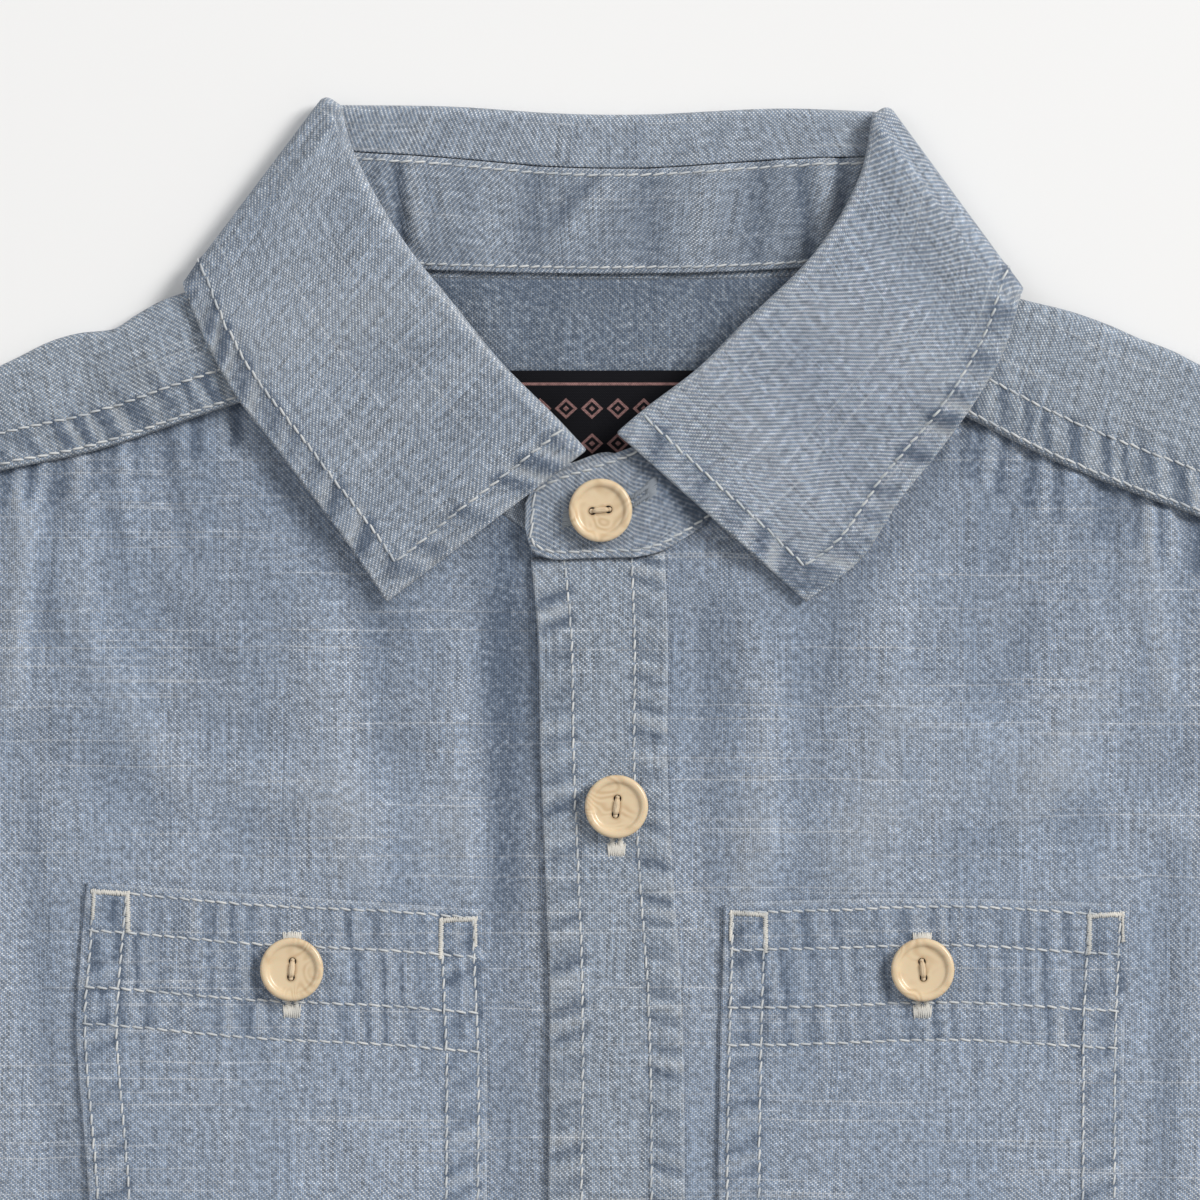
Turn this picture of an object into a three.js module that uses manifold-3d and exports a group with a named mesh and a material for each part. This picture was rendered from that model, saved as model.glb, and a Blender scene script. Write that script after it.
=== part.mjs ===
// A child's chambray shirt, buttoned up and laid flat on a table with its front up.
//
// Millimetres. X runs to the right of someone looking down at the front, Y towards the
// collar and Z up from the table. Y is 0 on the shoulder line beside the neck until the
// last step, which moves the whole shirt so that its box is centred on the origin.
// Names say left and right as the wearer does, so a "left" piece lies at positive X.

import * as THREE from 'three';
import { mergeVertices } from 'three/addons/utils/BufferGeometryUtils.js';
import Module from 'manifold-3d';

const wasm = await Module();
wasm.setup();

// --- Cloth layers ---------------------------------------------------------------------
const PANEL = 1.0; // wall of one panel
const DOUBLED = 1.2; // wall of a turned piece: collar, stand, placket and cuff
const GAP = 0.3; // air left between two pieces
const BACK_LEVEL = PANEL / 2; // middle of the panel on the table
const FRONT_LEVEL = BACK_LEVEL + PANEL + GAP; // middle of a front lying on the back
const ON_PANEL = PANEL + GAP; // from a panel's middle to the middle of a piece on it
const TURNED_ON_PANEL = (PANEL + DOUBLED) / 2 + GAP + 0.1; // the same for a turned piece on it
const ON_DOUBLED = DOUBLED + GAP; // the same between two turned pieces

// --- Body -----------------------------------------------------------------------------
const NECK_HALF_WIDTH = 58;
const NECK_DEPTH = 56;
const SHOULDER_TIP = [-150, -25];
const UNDERARM = [-187, -176];
const HEM = -500;
const HEM_RISE = 28; // how far the hem curves up at the side seams
const BACK_SEAM = -62; // yoke to back panel
const BELOW_SHOULDER = 0.06; // where a front's armhole edge starts, under the yoke
const CENTRE_EDGES = { right: 8, left: 9 }; // the fronts' edges under the placket

const ARMHOLE = [SHOULDER_TIP, [-147.5, -60], [-149, -100], [-160, -142], UNDERARM];
const SIDE_SEAM = [UNDERARM, [-184, -250], [-183, -360], [-186, HEM + HEM_RISE]];
const BACK_NECK = [[-58.5, 6], [-48, 5.2], [-25, 4.7], [0, 4.5], [25, 4.7], [48, 5.4], [58.5, 6]];

// Shoulder folds and the front edge of the yoke, from the neck out to the armhole
const SHOULDERS = {
  right: [[-58.5, 9.5], [-72, 5.5], [-84, 0.9], [-98, -6.1], [-121, -13.2], SHOULDER_TIP],
  left: [[58.5, 8.5], [71, 4.5], [83.5, -0.6], [98, -4.6], [119, -13.2], [150, -25]],
};
const YOKE_EDGES = {
  right: [[-50.5, -14.5], [-73.6, -20.8], [-101.9, -30.1], [-121, -34.2], [-148.6, -41]],
  left: [[50.5, -14.5], [70.9, -22.8], [91.1, -32.7], [119, -43.4], [148.4, -53]],
};
const UNDER_YOKE = 8; // seam allowance of a front under the yoke
const NECK_EDGES = {
  right: [[-53.5, -8], [-37.5, -29.5], [-24, -43.5], [-8, -53], [CENTRE_EDGES.right, -54]],
  left: [[53.5, -8], [37.5, -29.5], [24, -43.5], [14.5, -52.4], [CENTRE_EDGES.left, -54]],
};

// The largest soft folds of the fronts: a line on the cloth, its half width and its height
const FRONT_FOLDS = [
  { from: [-60, -78], to: [-52, -330], width: 26, height: 1.2 },
  { from: [64, -82], to: [55, -340], width: 26, height: 1.1 },
  { from: [-140, -120], to: [-40, -215], width: 22, height: 0.8 },
  { from: [140, -130], to: [45, -235], width: 22, height: 0.7 },
  { from: [-95, -260], to: [-122, -455], width: 24, height: 1.1 },
  { from: [90, -270], to: [116, -450], width: 24, height: 1.0 },
];

// --- Collar ---------------------------------------------------------------------------
const FALL_LEVEL = DOUBLED / 2; // middle of the fall where it lies on the table
const COLLAR_LIFT = DOUBLED + GAP; // how far the fall at the back raises the yoke
const ROLL_HEIGHTS = [11.2, 11.6, 12, 12, 11.2, 9.6, 7.2]; // front end to side crease
const CREASE_RADII = { roll: 3.3, edge: 3.8 };
const ROLL_RADII = { front: 1.2, back: 1.2 };
const SEAM_BELOW_ROLL = { front: 2.4, back: 9.0 };
const BACK_ROLL = [[-53.4, 38.7], [-31, 38.4], [-9, 37], [7, 36.8], [35, 38], [54, 37.4]];
const BACK_EDGE = [[-81.6, 1.2], [-70, -2.6], [-45, -6], [0, -8], [45, -6.5], [70, -3.4], [80.8, -0.2]];
const LEAVES = {
  right: {
    roll: [[-4, -30.4], [-10, -24], [-21, -13], [-30, -2], [-41, 12], [-50.5, 29], [-53.4, 38.7]],
    edge: [[-43.6, -60.4], [-52, -48], [-61, -36], [-67, -28], [-73, -20], [-78.6, -8], [-81.6, 1.2]],
    crease: { roll: [-56, 40.6], edge: [-84.3, 3.2] },
    neck: [[-7, -50.6], [-21.5, -42], [-34, -28], [-44.6, -13.6], [-51.4, -3], [-54, 2.6]],
  },
  left: {
    roll: [[2.6, -27], [8, -22.4], [19, -14], [27, -6], [43, 10], [51.5, 25], [54, 36.8]],
    edge: [[40.2, -60.4], [51, -52], [59, -40], [67, -30], [74, -20], [79, -9], [80.8, -0.2]],
    crease: { roll: [56.6, 38.6], edge: [83.5, 1.8] },
    neck: [[7, -51.4], [20.5, -42.6], [33.4, -28.6], [44.4, -14.2], [51.2, -3.6], [54, 2.2]],
  },
};
const STAND_FOOT = [[-51.5, 8.2], [-42, 6.6], [-22, 5.7], [0, 5.4], [22, 5.7], [42, 6.8], [51.5, 8.2]];
const STAND_ENDS = {
  under: { top: [[3, -29.4], [10, -32]], bottom: [[3, -51.2], [12, -49.6]] },
  over: {
    top: [[-3.2, -32.4], [-10.4, -35.2], [-15.6, -39.4]],
    bottom: [[-4, -51.7], [-12.6, -51.6], [-15.8, -47.4]],
  },
};

// --- Placket, pockets, label ----------------------------------------------------------
const PLACKET = {
  freeEdge: [[-15, -53], [-13.4, -68], [-13, -92], [-12, -116], [-11.2, -140], [-11.4, -180], [-13, -498]],
  sewnEdge: [[12, -53], [12.6, -68], [12.6, -96], [14, -120], [15.4, -140], [16, -180], [14, -498]],
};
const POCKET_BOTTOM = -214;
const POCKETS = {
  right: {
    outer: [[-103.8, -116.5], [-105.4, -134], [-106, -146], [-103.4, -180], [-102.6, POCKET_BOTTOM]],
    inner: [[-24.6, -121.9], [-24.2, -136], [-23.6, -150], [-23.6, -180], [-24, POCKET_BOTTOM]],
    sag: 0,
  },
  left: {
    outer: [[105.2, -121], [104.4, -136], [104, -150], [103.8, -180], [103.4, POCKET_BOTTOM]],
    inner: [[23.9, -120.7], [23.4, -136], [23, -150], [22.6, -180], [22.8, POCKET_BOTTOM]],
    sag: 1.2,
  },
};
const LABEL = { left: -21, right: 21, top: -14, bottom: -42 };

// --- Sleeves and cuffs ----------------------------------------------------------------
const SLEEVE_OUTER = [[-150.6, -24.8], [-215, -58], [-270, -100], [-417, -247]];
const SLEEVE_INNER = [[-187.6, -176.6], [-215, -200], [-252, -232], [-352, -312]];
const SLEEVE_PUFF = 1.6;
const CUFF_DEPTH = 50;
const CUFF_LAP = 14; // how far the cuff's ends lap
const CUFF_LAP_FROM_EDGE = 26;

// --- Buttons --------------------------------------------------------------------------
const BUTTON_RADIUS = 6.35;
const BUTTON_PROFILE = [[0, 0], [4.4, 0], [6.1, 1.0], [6.35, 1.9], [5.7, 2.6], [4.3, 2.0], [0, 1.7]];
const BUTTON_HOLE = { radius: 0.85, spread: 1.6 };
const STAND_BUTTON = [-0.9, -42.1];
const PLACKET_BUTTONS = { x: 2.3, first: -101.3, pitch: 87, count: 5 };
const POCKET_BUTTONS = { right: [-62.6, -133.8], left: [63.5, -133.9] };

// --- Finishes -------------------------------------------------------------------------
const CHAMBRAY = { color: 0x8e9aa8, roughness: 0.92, metalness: 0 };
const COLLAR_CLOTH = { color: 0x959da6, roughness: 0.92, metalness: 0 };
const WOVEN_LABEL = { color: 0x2b2c33, roughness: 0.8, metalness: 0 };
const HORN = { color: 0xd9c19a, roughness: 0.35, metalness: 0 };

const { clamp, lerp, smoothstep } = THREE.MathUtils;
const UP = new THREE.Vector3(0, 0, 1);

// --- Outlines -------------------------------------------------------------------------

// Evenly spaced points on a smooth line through an outline's points.
function spaced(outline, segments) {
  const points = outline.map(([x, y]) => new THREE.Vector3(x, y, 0));
  return new THREE.CatmullRomCurve3(points, false, 'centripetal').getSpacedPoints(segments);
}

const mirrored = (outline) => outline.map(([x, y]) => [-x, y]);
const at = (x, y, z) => new THREE.Vector3(x, y, z);

// A value read from a short list that is spread evenly over 0 to 1.
function spread(values, t) {
  const place = clamp(t, 0, 1) * (values.length - 1);
  const index = Math.min(Math.floor(place), values.length - 2);
  return lerp(values[index], values[index + 1], place - index);
}

// Rows of points between two lines with as many points each, laid at the given height.
function between(first, second, columns, heightAt) {
  return first.map((start, row) => Array.from({ length: columns + 1 }, (_, column) => {
    const point = start.clone().lerp(second[row], column / columns);
    point.z = heightAt(point.x, point.y);
    return point;
  }));
}

// --- Heights of the cloth over the table ----------------------------------------------

// The lift that the collar's fall gives to what lies on it at the back of the neck.
function collarLift(x, y) {
  const away = Math.hypot(Math.max(Math.abs(x) - 86, 0), Math.max(-11 - y, 0));
  return COLLAR_LIFT * (1 - smoothstep(away, 0, 14));
}

// The fronts rise towards the neck, where the stand holds them up.
function neckRise(x, y) {
  const across = x / NECK_HALF_WIDTH;
  const along = Math.min(y - 4, 0) / NECK_DEPTH;
  const away = Math.max(Math.hypot(across, along) - 1, 0) * NECK_HALF_WIDTH;
  return 2.2 * Math.exp(-((away / 26) ** 2));
}

// 0 on the armholes, side seams and hem, and 1 well inside them.
function insideBody(x, y) {
  const halfWidth = lerp(183, 148, smoothstep(y, -176, -100));
  return smoothstep(halfWidth - Math.abs(x), 0, 45) * smoothstep(y - HEM - HEM_RISE, 0, 40);
}

function foldHeight(fold, x, y) {
  const [startX, startY] = fold.from;
  const [runX, runY] = [fold.to[0] - startX, fold.to[1] - startY];
  const length = Math.hypot(runX, runY);
  const along = ((x - startX) * runX + (y - startY) * runY) / length;
  const away = ((x - startX) * runY - (y - startY) * runX) / length;
  const past = Math.max(-along, along - length, 0);
  return fold.height * Math.exp(-((away / fold.width) ** 2) - (past / (fold.width * 1.4)) ** 2);
}

// Middle of the front panels.
function frontHeight(x, y) {
  const folds = FRONT_FOLDS.reduce((sum, fold) => sum + foldHeight(fold, x, y), 0.5);
  return FRONT_LEVEL + collarLift(x, y) + neckRise(x, y) + folds * insideBody(x, y);
}

// The front's highest point close to a place, for what rests on it.
function restingHeight(x, y) {
  const reach = 7;
  const around = [[0, 0], [reach, 0], [-reach, 0], [0, reach], [0, -reach]];
  return Math.max(...around.map(([dx, dy]) => frontHeight(x + dx, y + dy)));
}

// --- Walls ----------------------------------------------------------------------------

// A closed wall whose middle runs through the grids' points. Grids that share points join.
function wall(grids, thickness) {
  const points = [];
  const known = new Map();
  const indexOf = (point) => {
    const key = point.toArray().map((value) => value.toFixed(3)).join();
    if (!known.has(key)) {
      known.set(key, points.length);
      points.push(point);
    }
    return known.get(key);
  };
  const triangles = [];
  const addTriangle = (...corners) => {
    if (new Set(corners).size === 3) triangles.push(corners);
  };
  for (const grid of grids) {
    for (let row = 1; row < grid.length; row += 1) {
      for (let column = 1; column < grid[row].length; column += 1) {
        const [a, b] = [grid[row - 1][column - 1], grid[row - 1][column]].map(indexOf);
        const [c, d] = [grid[row][column], grid[row][column - 1]].map(indexOf);
        addTriangle(a, b, c);
        addTriangle(a, c, d);
      }
    }
  }
  const normals = points.map(() => new THREE.Vector3());
  const edges = new Set();
  for (const [a, b, c] of triangles) {
    const face = new THREE.Triangle(points[a], points[b], points[c]);
    const normal = face.getNormal(new THREE.Vector3()).multiplyScalar(face.getArea());
    [a, b, c].forEach((corner) => normals[corner].add(normal));
    [[a, b], [b, c], [c, a]].forEach((edge) => edges.add(edge.join()));
  }
  normals.forEach((normal) => normal.normalize());
  const offset = (side) => points.map((point, i) => {
    return point.clone().addScaledVector(normals[i], side * thickness / 2);
  });
  const positions = [...offset(1), ...offset(-1)];
  const below = points.length;
  const faces = triangles.flatMap(([a, b, c]) => [a, b, c, a + below, c + below, b + below]);
  for (const edge of edges) {
    const [a, b] = edge.split(',').map(Number);
    if (edges.has([b, a].join())) continue;
    faces.push(b, a, a + below, b, a + below, b + below);
  }
  const geometry = new THREE.BufferGeometry().setFromPoints(positions);
  geometry.setIndex(faces);
  geometry.computeVertexNormals();
  return geometry;
}

function piece(name, geometry, finish) {
  const mesh = new THREE.Mesh(geometry, new THREE.MeshStandardMaterial(finish));
  mesh.name = name;
  return mesh;
}

// --- Back, yoke and fronts ------------------------------------------------------------

const hemAt = (x) => HEM + HEM_RISE * smoothstep(Math.abs(x), 60, 186);
const armholePoints = spaced(ARMHOLE, 8);
const shoulderStart = spaced(ARMHOLE, 100)[BELOW_SHOULDER * 100];

function backPanel() {
  const armhole = armholePoints.filter((point) => point.y < BACK_SEAM - 8);
  const start = spaced(ARMHOLE, 200).find((point) => point.y < BACK_SEAM - GAP);
  const side = [start, ...armhole, ...spaced(SIDE_SEAM, 9).slice(1)];
  const other = side.map((point) => at(-point.x, point.y, 0));
  const grid = between(side, other, 12, () => BACK_LEVEL);
  grid.at(-1).forEach((point) => point.setY(hemAt(point.x)));
  return piece('back_panel', wall([grid], PANEL), CHAMBRAY);
}

const backHeight = (x, y) => BACK_LEVEL + collarLift(x, y);

// Shares of the way from the back seam to the shoulder fold or the neck.
const YOKE_ROWS = [0, 0.3, 0.54, 0.76, 1];

// One line of the yoke: up the back, round the shoulder fold and down to the front edge.
function yokeLine(backSeam, shoulder, frontEdge) {
  const outward = shoulder.clone().sub(frontEdge).setZ(0).normalize();
  const lowest = backHeight(shoulder.x, shoulder.y);
  const highest = restingHeight(shoulder.x, shoulder.y) + ON_PANEL;
  const radius = (highest - lowest) / 2;
  const centre = shoulder.clone().addScaledVector(outward, -radius);
  const back = YOKE_ROWS.map((share) => {
    const point = backSeam.clone().lerp(centre, share);
    return point.setZ(backHeight(point.x, point.y));
  });
  back.at(-1).setZ(lowest);
  const fold = [-50, 0, 50, 90].map((degrees) => {
    const angle = THREE.MathUtils.degToRad(degrees);
    const point = centre.clone().addScaledVector(outward, radius * Math.cos(angle));
    return point.setZ(lowest + radius + radius * Math.sin(angle));
  });
  const strip = [1 / 3, 2 / 3, 1].map((share) => {
    const point = centre.clone().lerp(frontEdge, share);
    return point.setZ(restingHeight(point.x, point.y) + ON_PANEL);
  });
  return [...back, ...fold, ...strip];
}

function yoke() {
  const wing = (side) => {
    const shoulder = spaced(SHOULDERS[side], 7);
    const front = spaced(YOKE_EDGES[side], 7);
    const armhole = spaced(ARMHOLE, 200).find((point) => point.y < BACK_SEAM);
    const tip = Math.abs(armhole.x) * Math.sign(shoulder[0].x);
    return shoulder.map((point, i) => {
      const seamX = lerp(Math.sign(point.x) * 56, tip, i / 7);
      return yokeLine(at(seamX, BACK_SEAM, 0), point, front[i]);
    });
  };
  const right = wing('right');
  const left = wing('left');
  const neck = spaced(BACK_NECK, 8);
  const rows = YOKE_ROWS.length;
  const middle = neck.slice(1, -1).map((point, i) => YOKE_ROWS.map((share) => {
    const start = at(lerp(-56, 56, (i + 1) / 8), BACK_SEAM, 0);
    const place = start.lerp(point, share);
    return place.setZ(backHeight(place.x, place.y));
  }));
  const centre = [right[0].slice(0, rows), ...middle, left[0].slice(0, rows)];
  const grids = [[...right].reverse(), centre, left];
  return piece('yoke', wall(grids, PANEL), CHAMBRAY);
}

function frontPanel(side) {
  const sign = side === 'right' ? 1 : -1;
  const turned = (points) => points.map((point) => at(point.x * sign, point.y, 0));
  const yokeEdge = spaced(YOKE_EDGES[side], 10);
  const top = yokeEdge.map((point) => at(point.x, point.y + UNDER_YOKE, 0));
  const outer = turned([shoulderStart, ...armholePoints.slice(1), ...spaced(SIDE_SEAM, 9).slice(1)]);
  const centreX = CENTRE_EDGES[side];
  const neck = spaced(NECK_EDGES[side], 6);
  const inner = [...neck, ...outer.slice(7).map((_, i) => {
    return at(centreX, lerp(-54, HEM, (i + 1) / (outer.length - 7)), 0);
  })];
  const columns = 10;
  const grid = between(inner, outer, columns, frontHeight);
  grid[0] = grid[0].map((point, i) => {
    const y = i === columns ? outer[0].y : top[i].y;
    return at(point.x, y, frontHeight(point.x, y));
  });
  grid.at(-1).forEach((point) => point.setY(hemAt(point.x)));
  return piece(`front_${side}`, wall([grid], PANEL), CHAMBRAY);
}

// --- Pieces on the fronts -------------------------------------------------------------

const onFront = (x, y) => restingHeight(x, y) + ON_PANEL;

const placketLevel = (x, y) => restingHeight(x, y) + TURNED_ON_PANEL;

function placket() {
  const [free, sewn] = [PLACKET.freeEdge, PLACKET.sewnEdge].map((edge) => spaced(edge, 26));
  const grid = between(free, sewn, 3, placketLevel);
  return piece('placket', wall([grid], DOUBLED), CHAMBRAY);
}

function pocket(side) {
  const shape = POCKETS[side];
  const grid = between(spaced(shape.outer, 7), spaced(shape.inner, 7), 7, onFront);
  grid[0].forEach((point, i) => point.setY(point.y + shape.sag * Math.sin(Math.PI * i / 7)));
  return piece(`pocket_${side}`, wall([grid], PANEL), CHAMBRAY);
}

function label() {
  const sides = [LABEL.left, LABEL.right].map((x) => {
    return [0, 0.34, 0.67, 1].map((share) => at(x, lerp(LABEL.top, LABEL.bottom, share), 0));
  });
  const highest = (x, y) => Math.max(backHeight(x, y + 5), backHeight(x, y)) + ON_PANEL;
  return piece('label', wall([between(sides[0], sides[1], 3, highest)], PANEL), WOVEN_LABEL);
}

// --- Collar ---------------------------------------------------------------------------

// The fall folds over along its roll. Each line runs from the seam with the stand, up and
// round the roll, and down to the fall's outer edge. The outer leg lies on the side of
// "out", which points up on the fronts, sideways at the side creases and down at the back.
function fallLine({ roll, edge, out, radius, seamBelow, levels }) {
  const towardsRoll = roll.clone().sub(edge).setZ(0).normalize();
  const centre = roll.clone().addScaledVector(towardsRoll, -radius).addScaledVector(out, -radius);
  const turn = [-90, -30, 30, 90].map((degrees) => {
    const angle = THREE.MathUtils.degToRad(degrees);
    return centre.clone()
      .addScaledVector(towardsRoll, radius * Math.cos(angle))
      .addScaledVector(out, radius * Math.sin(angle));
  });
  const seam = turn[0].clone().addScaledVector(towardsRoll, -seamBelow);
  const leg = [0.18, 0.38, 0.6, 0.8, 1].map((share) => {
    const point = turn.at(-1).clone().lerp(edge, share);
    return levels ? point.setZ(levels(point, share)) : point;
  });
  return [seam, ...turn, ...leg];
}

// A leaf lies on the front, nearer the shoulder on the yoke as well, and at the centre
// on both ends of the stand.
function leafLevel({ x, y }) {
  const onYoke = smoothstep(y, -42, -22) * ON_PANEL;
  const onStand = smoothstep(38 - Math.abs(x), 0, 14) * smoothstep(y, -60, -50);
  const layers = onYoke + onStand * (ON_PANEL + ON_DOUBLED - onYoke);
  return restingHeight(x, y) + ON_DOUBLED + 0.1 + layers;
}

function leafLines(side, count) {
  const leaf = LEAVES[side];
  const rolls = spaced(leaf.roll, count);
  const edges = spaced(leaf.edge, count);
  return rolls.map((roll, i) => {
    const rollHeight = spread(ROLL_HEIGHTS, i / count);
    const edgeHeight = i === count ? FALL_LEVEL + 2 * CREASE_RADII.edge : leafLevel(edges[i]);
    return fallLine({
      roll: roll.setZ(rollHeight),
      edge: edges[i].setZ(edgeHeight),
      out: UP,
      radius: ROLL_RADII.front,
      seamBelow: lerp(SEAM_BELOW_ROLL.front, 5, smoothstep(i / count, 0.7, 1)),
      levels: (point, share) => {
        const height = lerp(rollHeight, edgeHeight, Math.sin(share * Math.PI / 2));
        return share === 1 || i === count ? height : Math.max(height, leafLevel(point));
      },
    });
  });
}

// The lines that turn round a side crease, from the front to the back.
function creaseLines(side) {
  const { crease } = LEAVES[side];
  const roll = at(...crease.roll, 0);
  const edge = at(...crease.edge, 0);
  const sideways = roll.clone().sub(edge).cross(UP).normalize();
  if (sideways.x * roll.x < 0) sideways.negate();
  return [50, 0, -50].map((degrees) => {
    const angle = THREE.MathUtils.degToRad(degrees);
    const out = sideways.clone().multiplyScalar(Math.cos(angle)).setZ(Math.sin(angle));
    const [rollPoint, edgePoint] = [[roll, CREASE_RADII.roll], [edge, CREASE_RADII.edge]].map(
      ([outline, radius]) => outline.clone()
        .addScaledVector(sideways, -radius)
        .setZ(FALL_LEVEL + radius)
        .addScaledVector(out, radius),
    );
    const share = 0.5 - degrees / 180;
    return fallLine({
      roll: rollPoint,
      edge: edgePoint,
      out,
      radius: lerp(ROLL_RADII.front, ROLL_RADII.back, share),
      seamBelow: lerp(5, SEAM_BELOW_ROLL.back, share),
    });
  });
}

function backLines(count) {
  const rolls = spaced(BACK_ROLL, count);
  const edges = spaced(BACK_EDGE, count);
  return rolls.map((roll, i) => fallLine({
    roll: roll.setZ(FALL_LEVEL),
    edge: edges[i].setZ(FALL_LEVEL),
    out: UP.clone().negate(),
    radius: ROLL_RADII.back,
    seamBelow: SEAM_BELOW_ROLL.back,
  }));
}

const FRONT_LINES = 9;
const BACK_LINES = 12;

function fallLines() {
  return [
    ...leafLines('right', FRONT_LINES),
    ...creaseLines('right'),
    ...backLines(BACK_LINES),
    ...creaseLines('left').reverse(),
    ...leafLines('left', FRONT_LINES).reverse(),
  ];
}

function collarFall() {
  return piece('collar_fall', wall([fallLines()], DOUBLED), COLLAR_CLOTH);
}

const standRow = (top, bottom) => [0, 0.5, 1].map((share) => top.clone().lerp(bottom, share));

// The stand hangs from the fall's seam and ends just inside the neck edges.
function standLines() {
  const lines = fallLines();
  const neckPoints = (side) => spaced(LEAVES[side].neck, FRONT_LINES).map((point) => {
    return point.setZ(restingHeight(point.x, point.y));
  });
  const turnPoints = (sign) => [[54.2, 4.6, 4.6], [54.6, 6.4, 3.6], [53.4, 8, 2.6]].map(
    ([x, y, z]) => at(sign * x, y, z),
  );
  const back = spaced(STAND_FOOT, BACK_LINES).map((point) => {
    return point.setZ(backHeight(point.x, point.y) + 0.1);
  });
  const bottoms = [
    ...neckPoints('right'),
    ...turnPoints(-1),
    ...back,
    ...turnPoints(1).reverse(),
    ...neckPoints('left').reverse(),
  ];
  return lines.map((line, i) => {
    const [seam, start] = line;
    const awayFromRoll = seam.clone().sub(start).normalize();
    return standRow(seam.clone().addScaledVector(awayFromRoll, DOUBLED + 3 * GAP), bottoms[i]);
  });
}

const underLevel = placketLevel;
const overLevel = (x, y) => underLevel(x, y) + ON_DOUBLED;

function standEnd({ top, bottom }, levelAt) {
  const levelled = ([x, y]) => at(x, y, levelAt(x, y));
  return top.map((point, i) => standRow(levelled(point), levelled(bottom[i])));
}

function collarStand() {
  const lines = standLines();
  const lapped = (row, levelAt, share) => {
    row.forEach((point) => point.setZ(lerp(point.z, levelAt(point.x, point.y), share)));
  };
  [1, 0.7, 0.3].forEach((share, i) => lapped(lines[i], underLevel, share));
  [1, 0.8, 0.4].forEach((share, i) => lapped(lines.at(-1 - i), overLevel, share));
  const grid = [
    ...standEnd(STAND_ENDS.under, underLevel).reverse(),
    ...lines,
    ...standEnd(STAND_ENDS.over, overLevel),
  ];
  return piece('collar_stand', wall([grid], DOUBLED), COLLAR_CLOTH);
}

// --- Sleeves and cuffs ----------------------------------------------------------------

const SLEEVE_LENGTHS = 9;

// The sleeve's upper and lower layers joined round both long edges, on the right arm.
function sleeveRings() {
  const outer = spaced(SLEEVE_OUTER, SLEEVE_LENGTHS);
  const inner = spaced(SLEEVE_INNER, SLEEVE_LENGTHS);
  const across = armholePoints.length - 1;
  return outer.map((start, ring) => {
    const end = inner[ring];
    const outward = start.clone().sub(end).normalize();
    const edge = armholePoints.map((point) => at(point.x - 0.6, point.y, 0));
    const flat = edge.map((_, i) => start.clone().lerp(end, i / across));
    const blend = smoothstep(ring / SLEEVE_LENGTHS, 0, 0.3);
    const line = edge.map((point, i) => point.lerp(flat[i], blend));
    const puff = SLEEVE_PUFF * smoothstep(ring, 0, 2) * smoothstep(SLEEVE_LENGTHS - ring, 0, 2);
    const upper = line.map((point, i) => {
      return at(point.x, point.y, FRONT_LEVEL + puff * Math.sin(Math.PI * i / across));
    });
    const lower = line.map((point) => at(point.x, point.y, BACK_LEVEL)).reverse();
    const middle = (FRONT_LEVEL + BACK_LEVEL) / 2;
    const reach = (FRONT_LEVEL - BACK_LEVEL) / 2;
    const innerFold = line.at(-1).clone().addScaledVector(outward, -reach).setZ(middle);
    const outerFold = line[0].clone().addScaledVector(outward, reach).setZ(middle);
    return [...upper, innerFold, ...lower, outerFold, upper[0]];
  });
}

// The cuff is a band wound once round the wrist with its ends lapped on top.
function cuffRings() {
  const outer = at(...SLEEVE_OUTER.at(-1), 0);
  const inner = at(...SLEEVE_INNER.at(-1), 0);
  const across = inner.clone().sub(outer);
  const width = across.length();
  across.normalize();
  const along = across.clone().cross(UP);
  const upper = DOUBLED * 1.5 + GAP;
  const top = upper + ON_DOUBLED;
  const middle = (DOUBLED / 2 + upper) / 2;
  const lapStart = CUFF_LAP_FROM_EDGE + CUFF_LAP;
  const section = [
    [lapStart, upper], [CUFF_LAP_FROM_EDGE, upper], [CUFF_LAP_FROM_EDGE / 2, upper], [0, upper],
    [-(upper - middle), middle],
    [0, DOUBLED / 2], [width / 3, DOUBLED / 2], [2 * width / 3, DOUBLED / 2], [width, DOUBLED / 2],
    [width + upper - middle, middle],
    [width, upper], [width * 0.8, upper], [lapStart + 12, upper],
    [lapStart + 5, (upper + top) / 2 + 0.4], [lapStart - 1, top], [CUFF_LAP_FROM_EDGE, top],
  ];
  return [0, 0.5, 1].map((share) => section.map(([place, height]) => {
    const reach = DOUBLED / 2 + GAP + share * (CUFF_DEPTH - DOUBLED);
    return outer.clone().addScaledVector(across, place).addScaledVector(along, reach).setZ(height);
  }));
}

const turnedTo = (side, rings) => rings.map((ring) => ring.map((point) => {
  return at(side === 'right' ? point.x : -point.x, point.y, point.z);
}));

function sleeve(side) {
  return piece(`sleeve_${side}`, wall([turnedTo(side, sleeveRings())], PANEL), CHAMBRAY);
}

function cuff(side) {
  return piece(`cuff_${side}`, wall([turnedTo(side, cuffRings())], DOUBLED), CHAMBRAY);
}

// --- Buttons --------------------------------------------------------------------------

function solidOf(geometry) {
  geometry.deleteAttribute('normal');
  geometry.deleteAttribute('uv');
  const merged = mergeVertices(geometry);
  const mesh = new wasm.Mesh({
    numProp: 3,
    vertProperties: new Float32Array(merged.attributes.position.array),
    triVerts: new Uint32Array(merged.index.array),
  });
  return new wasm.Manifold(mesh);
}

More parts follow.
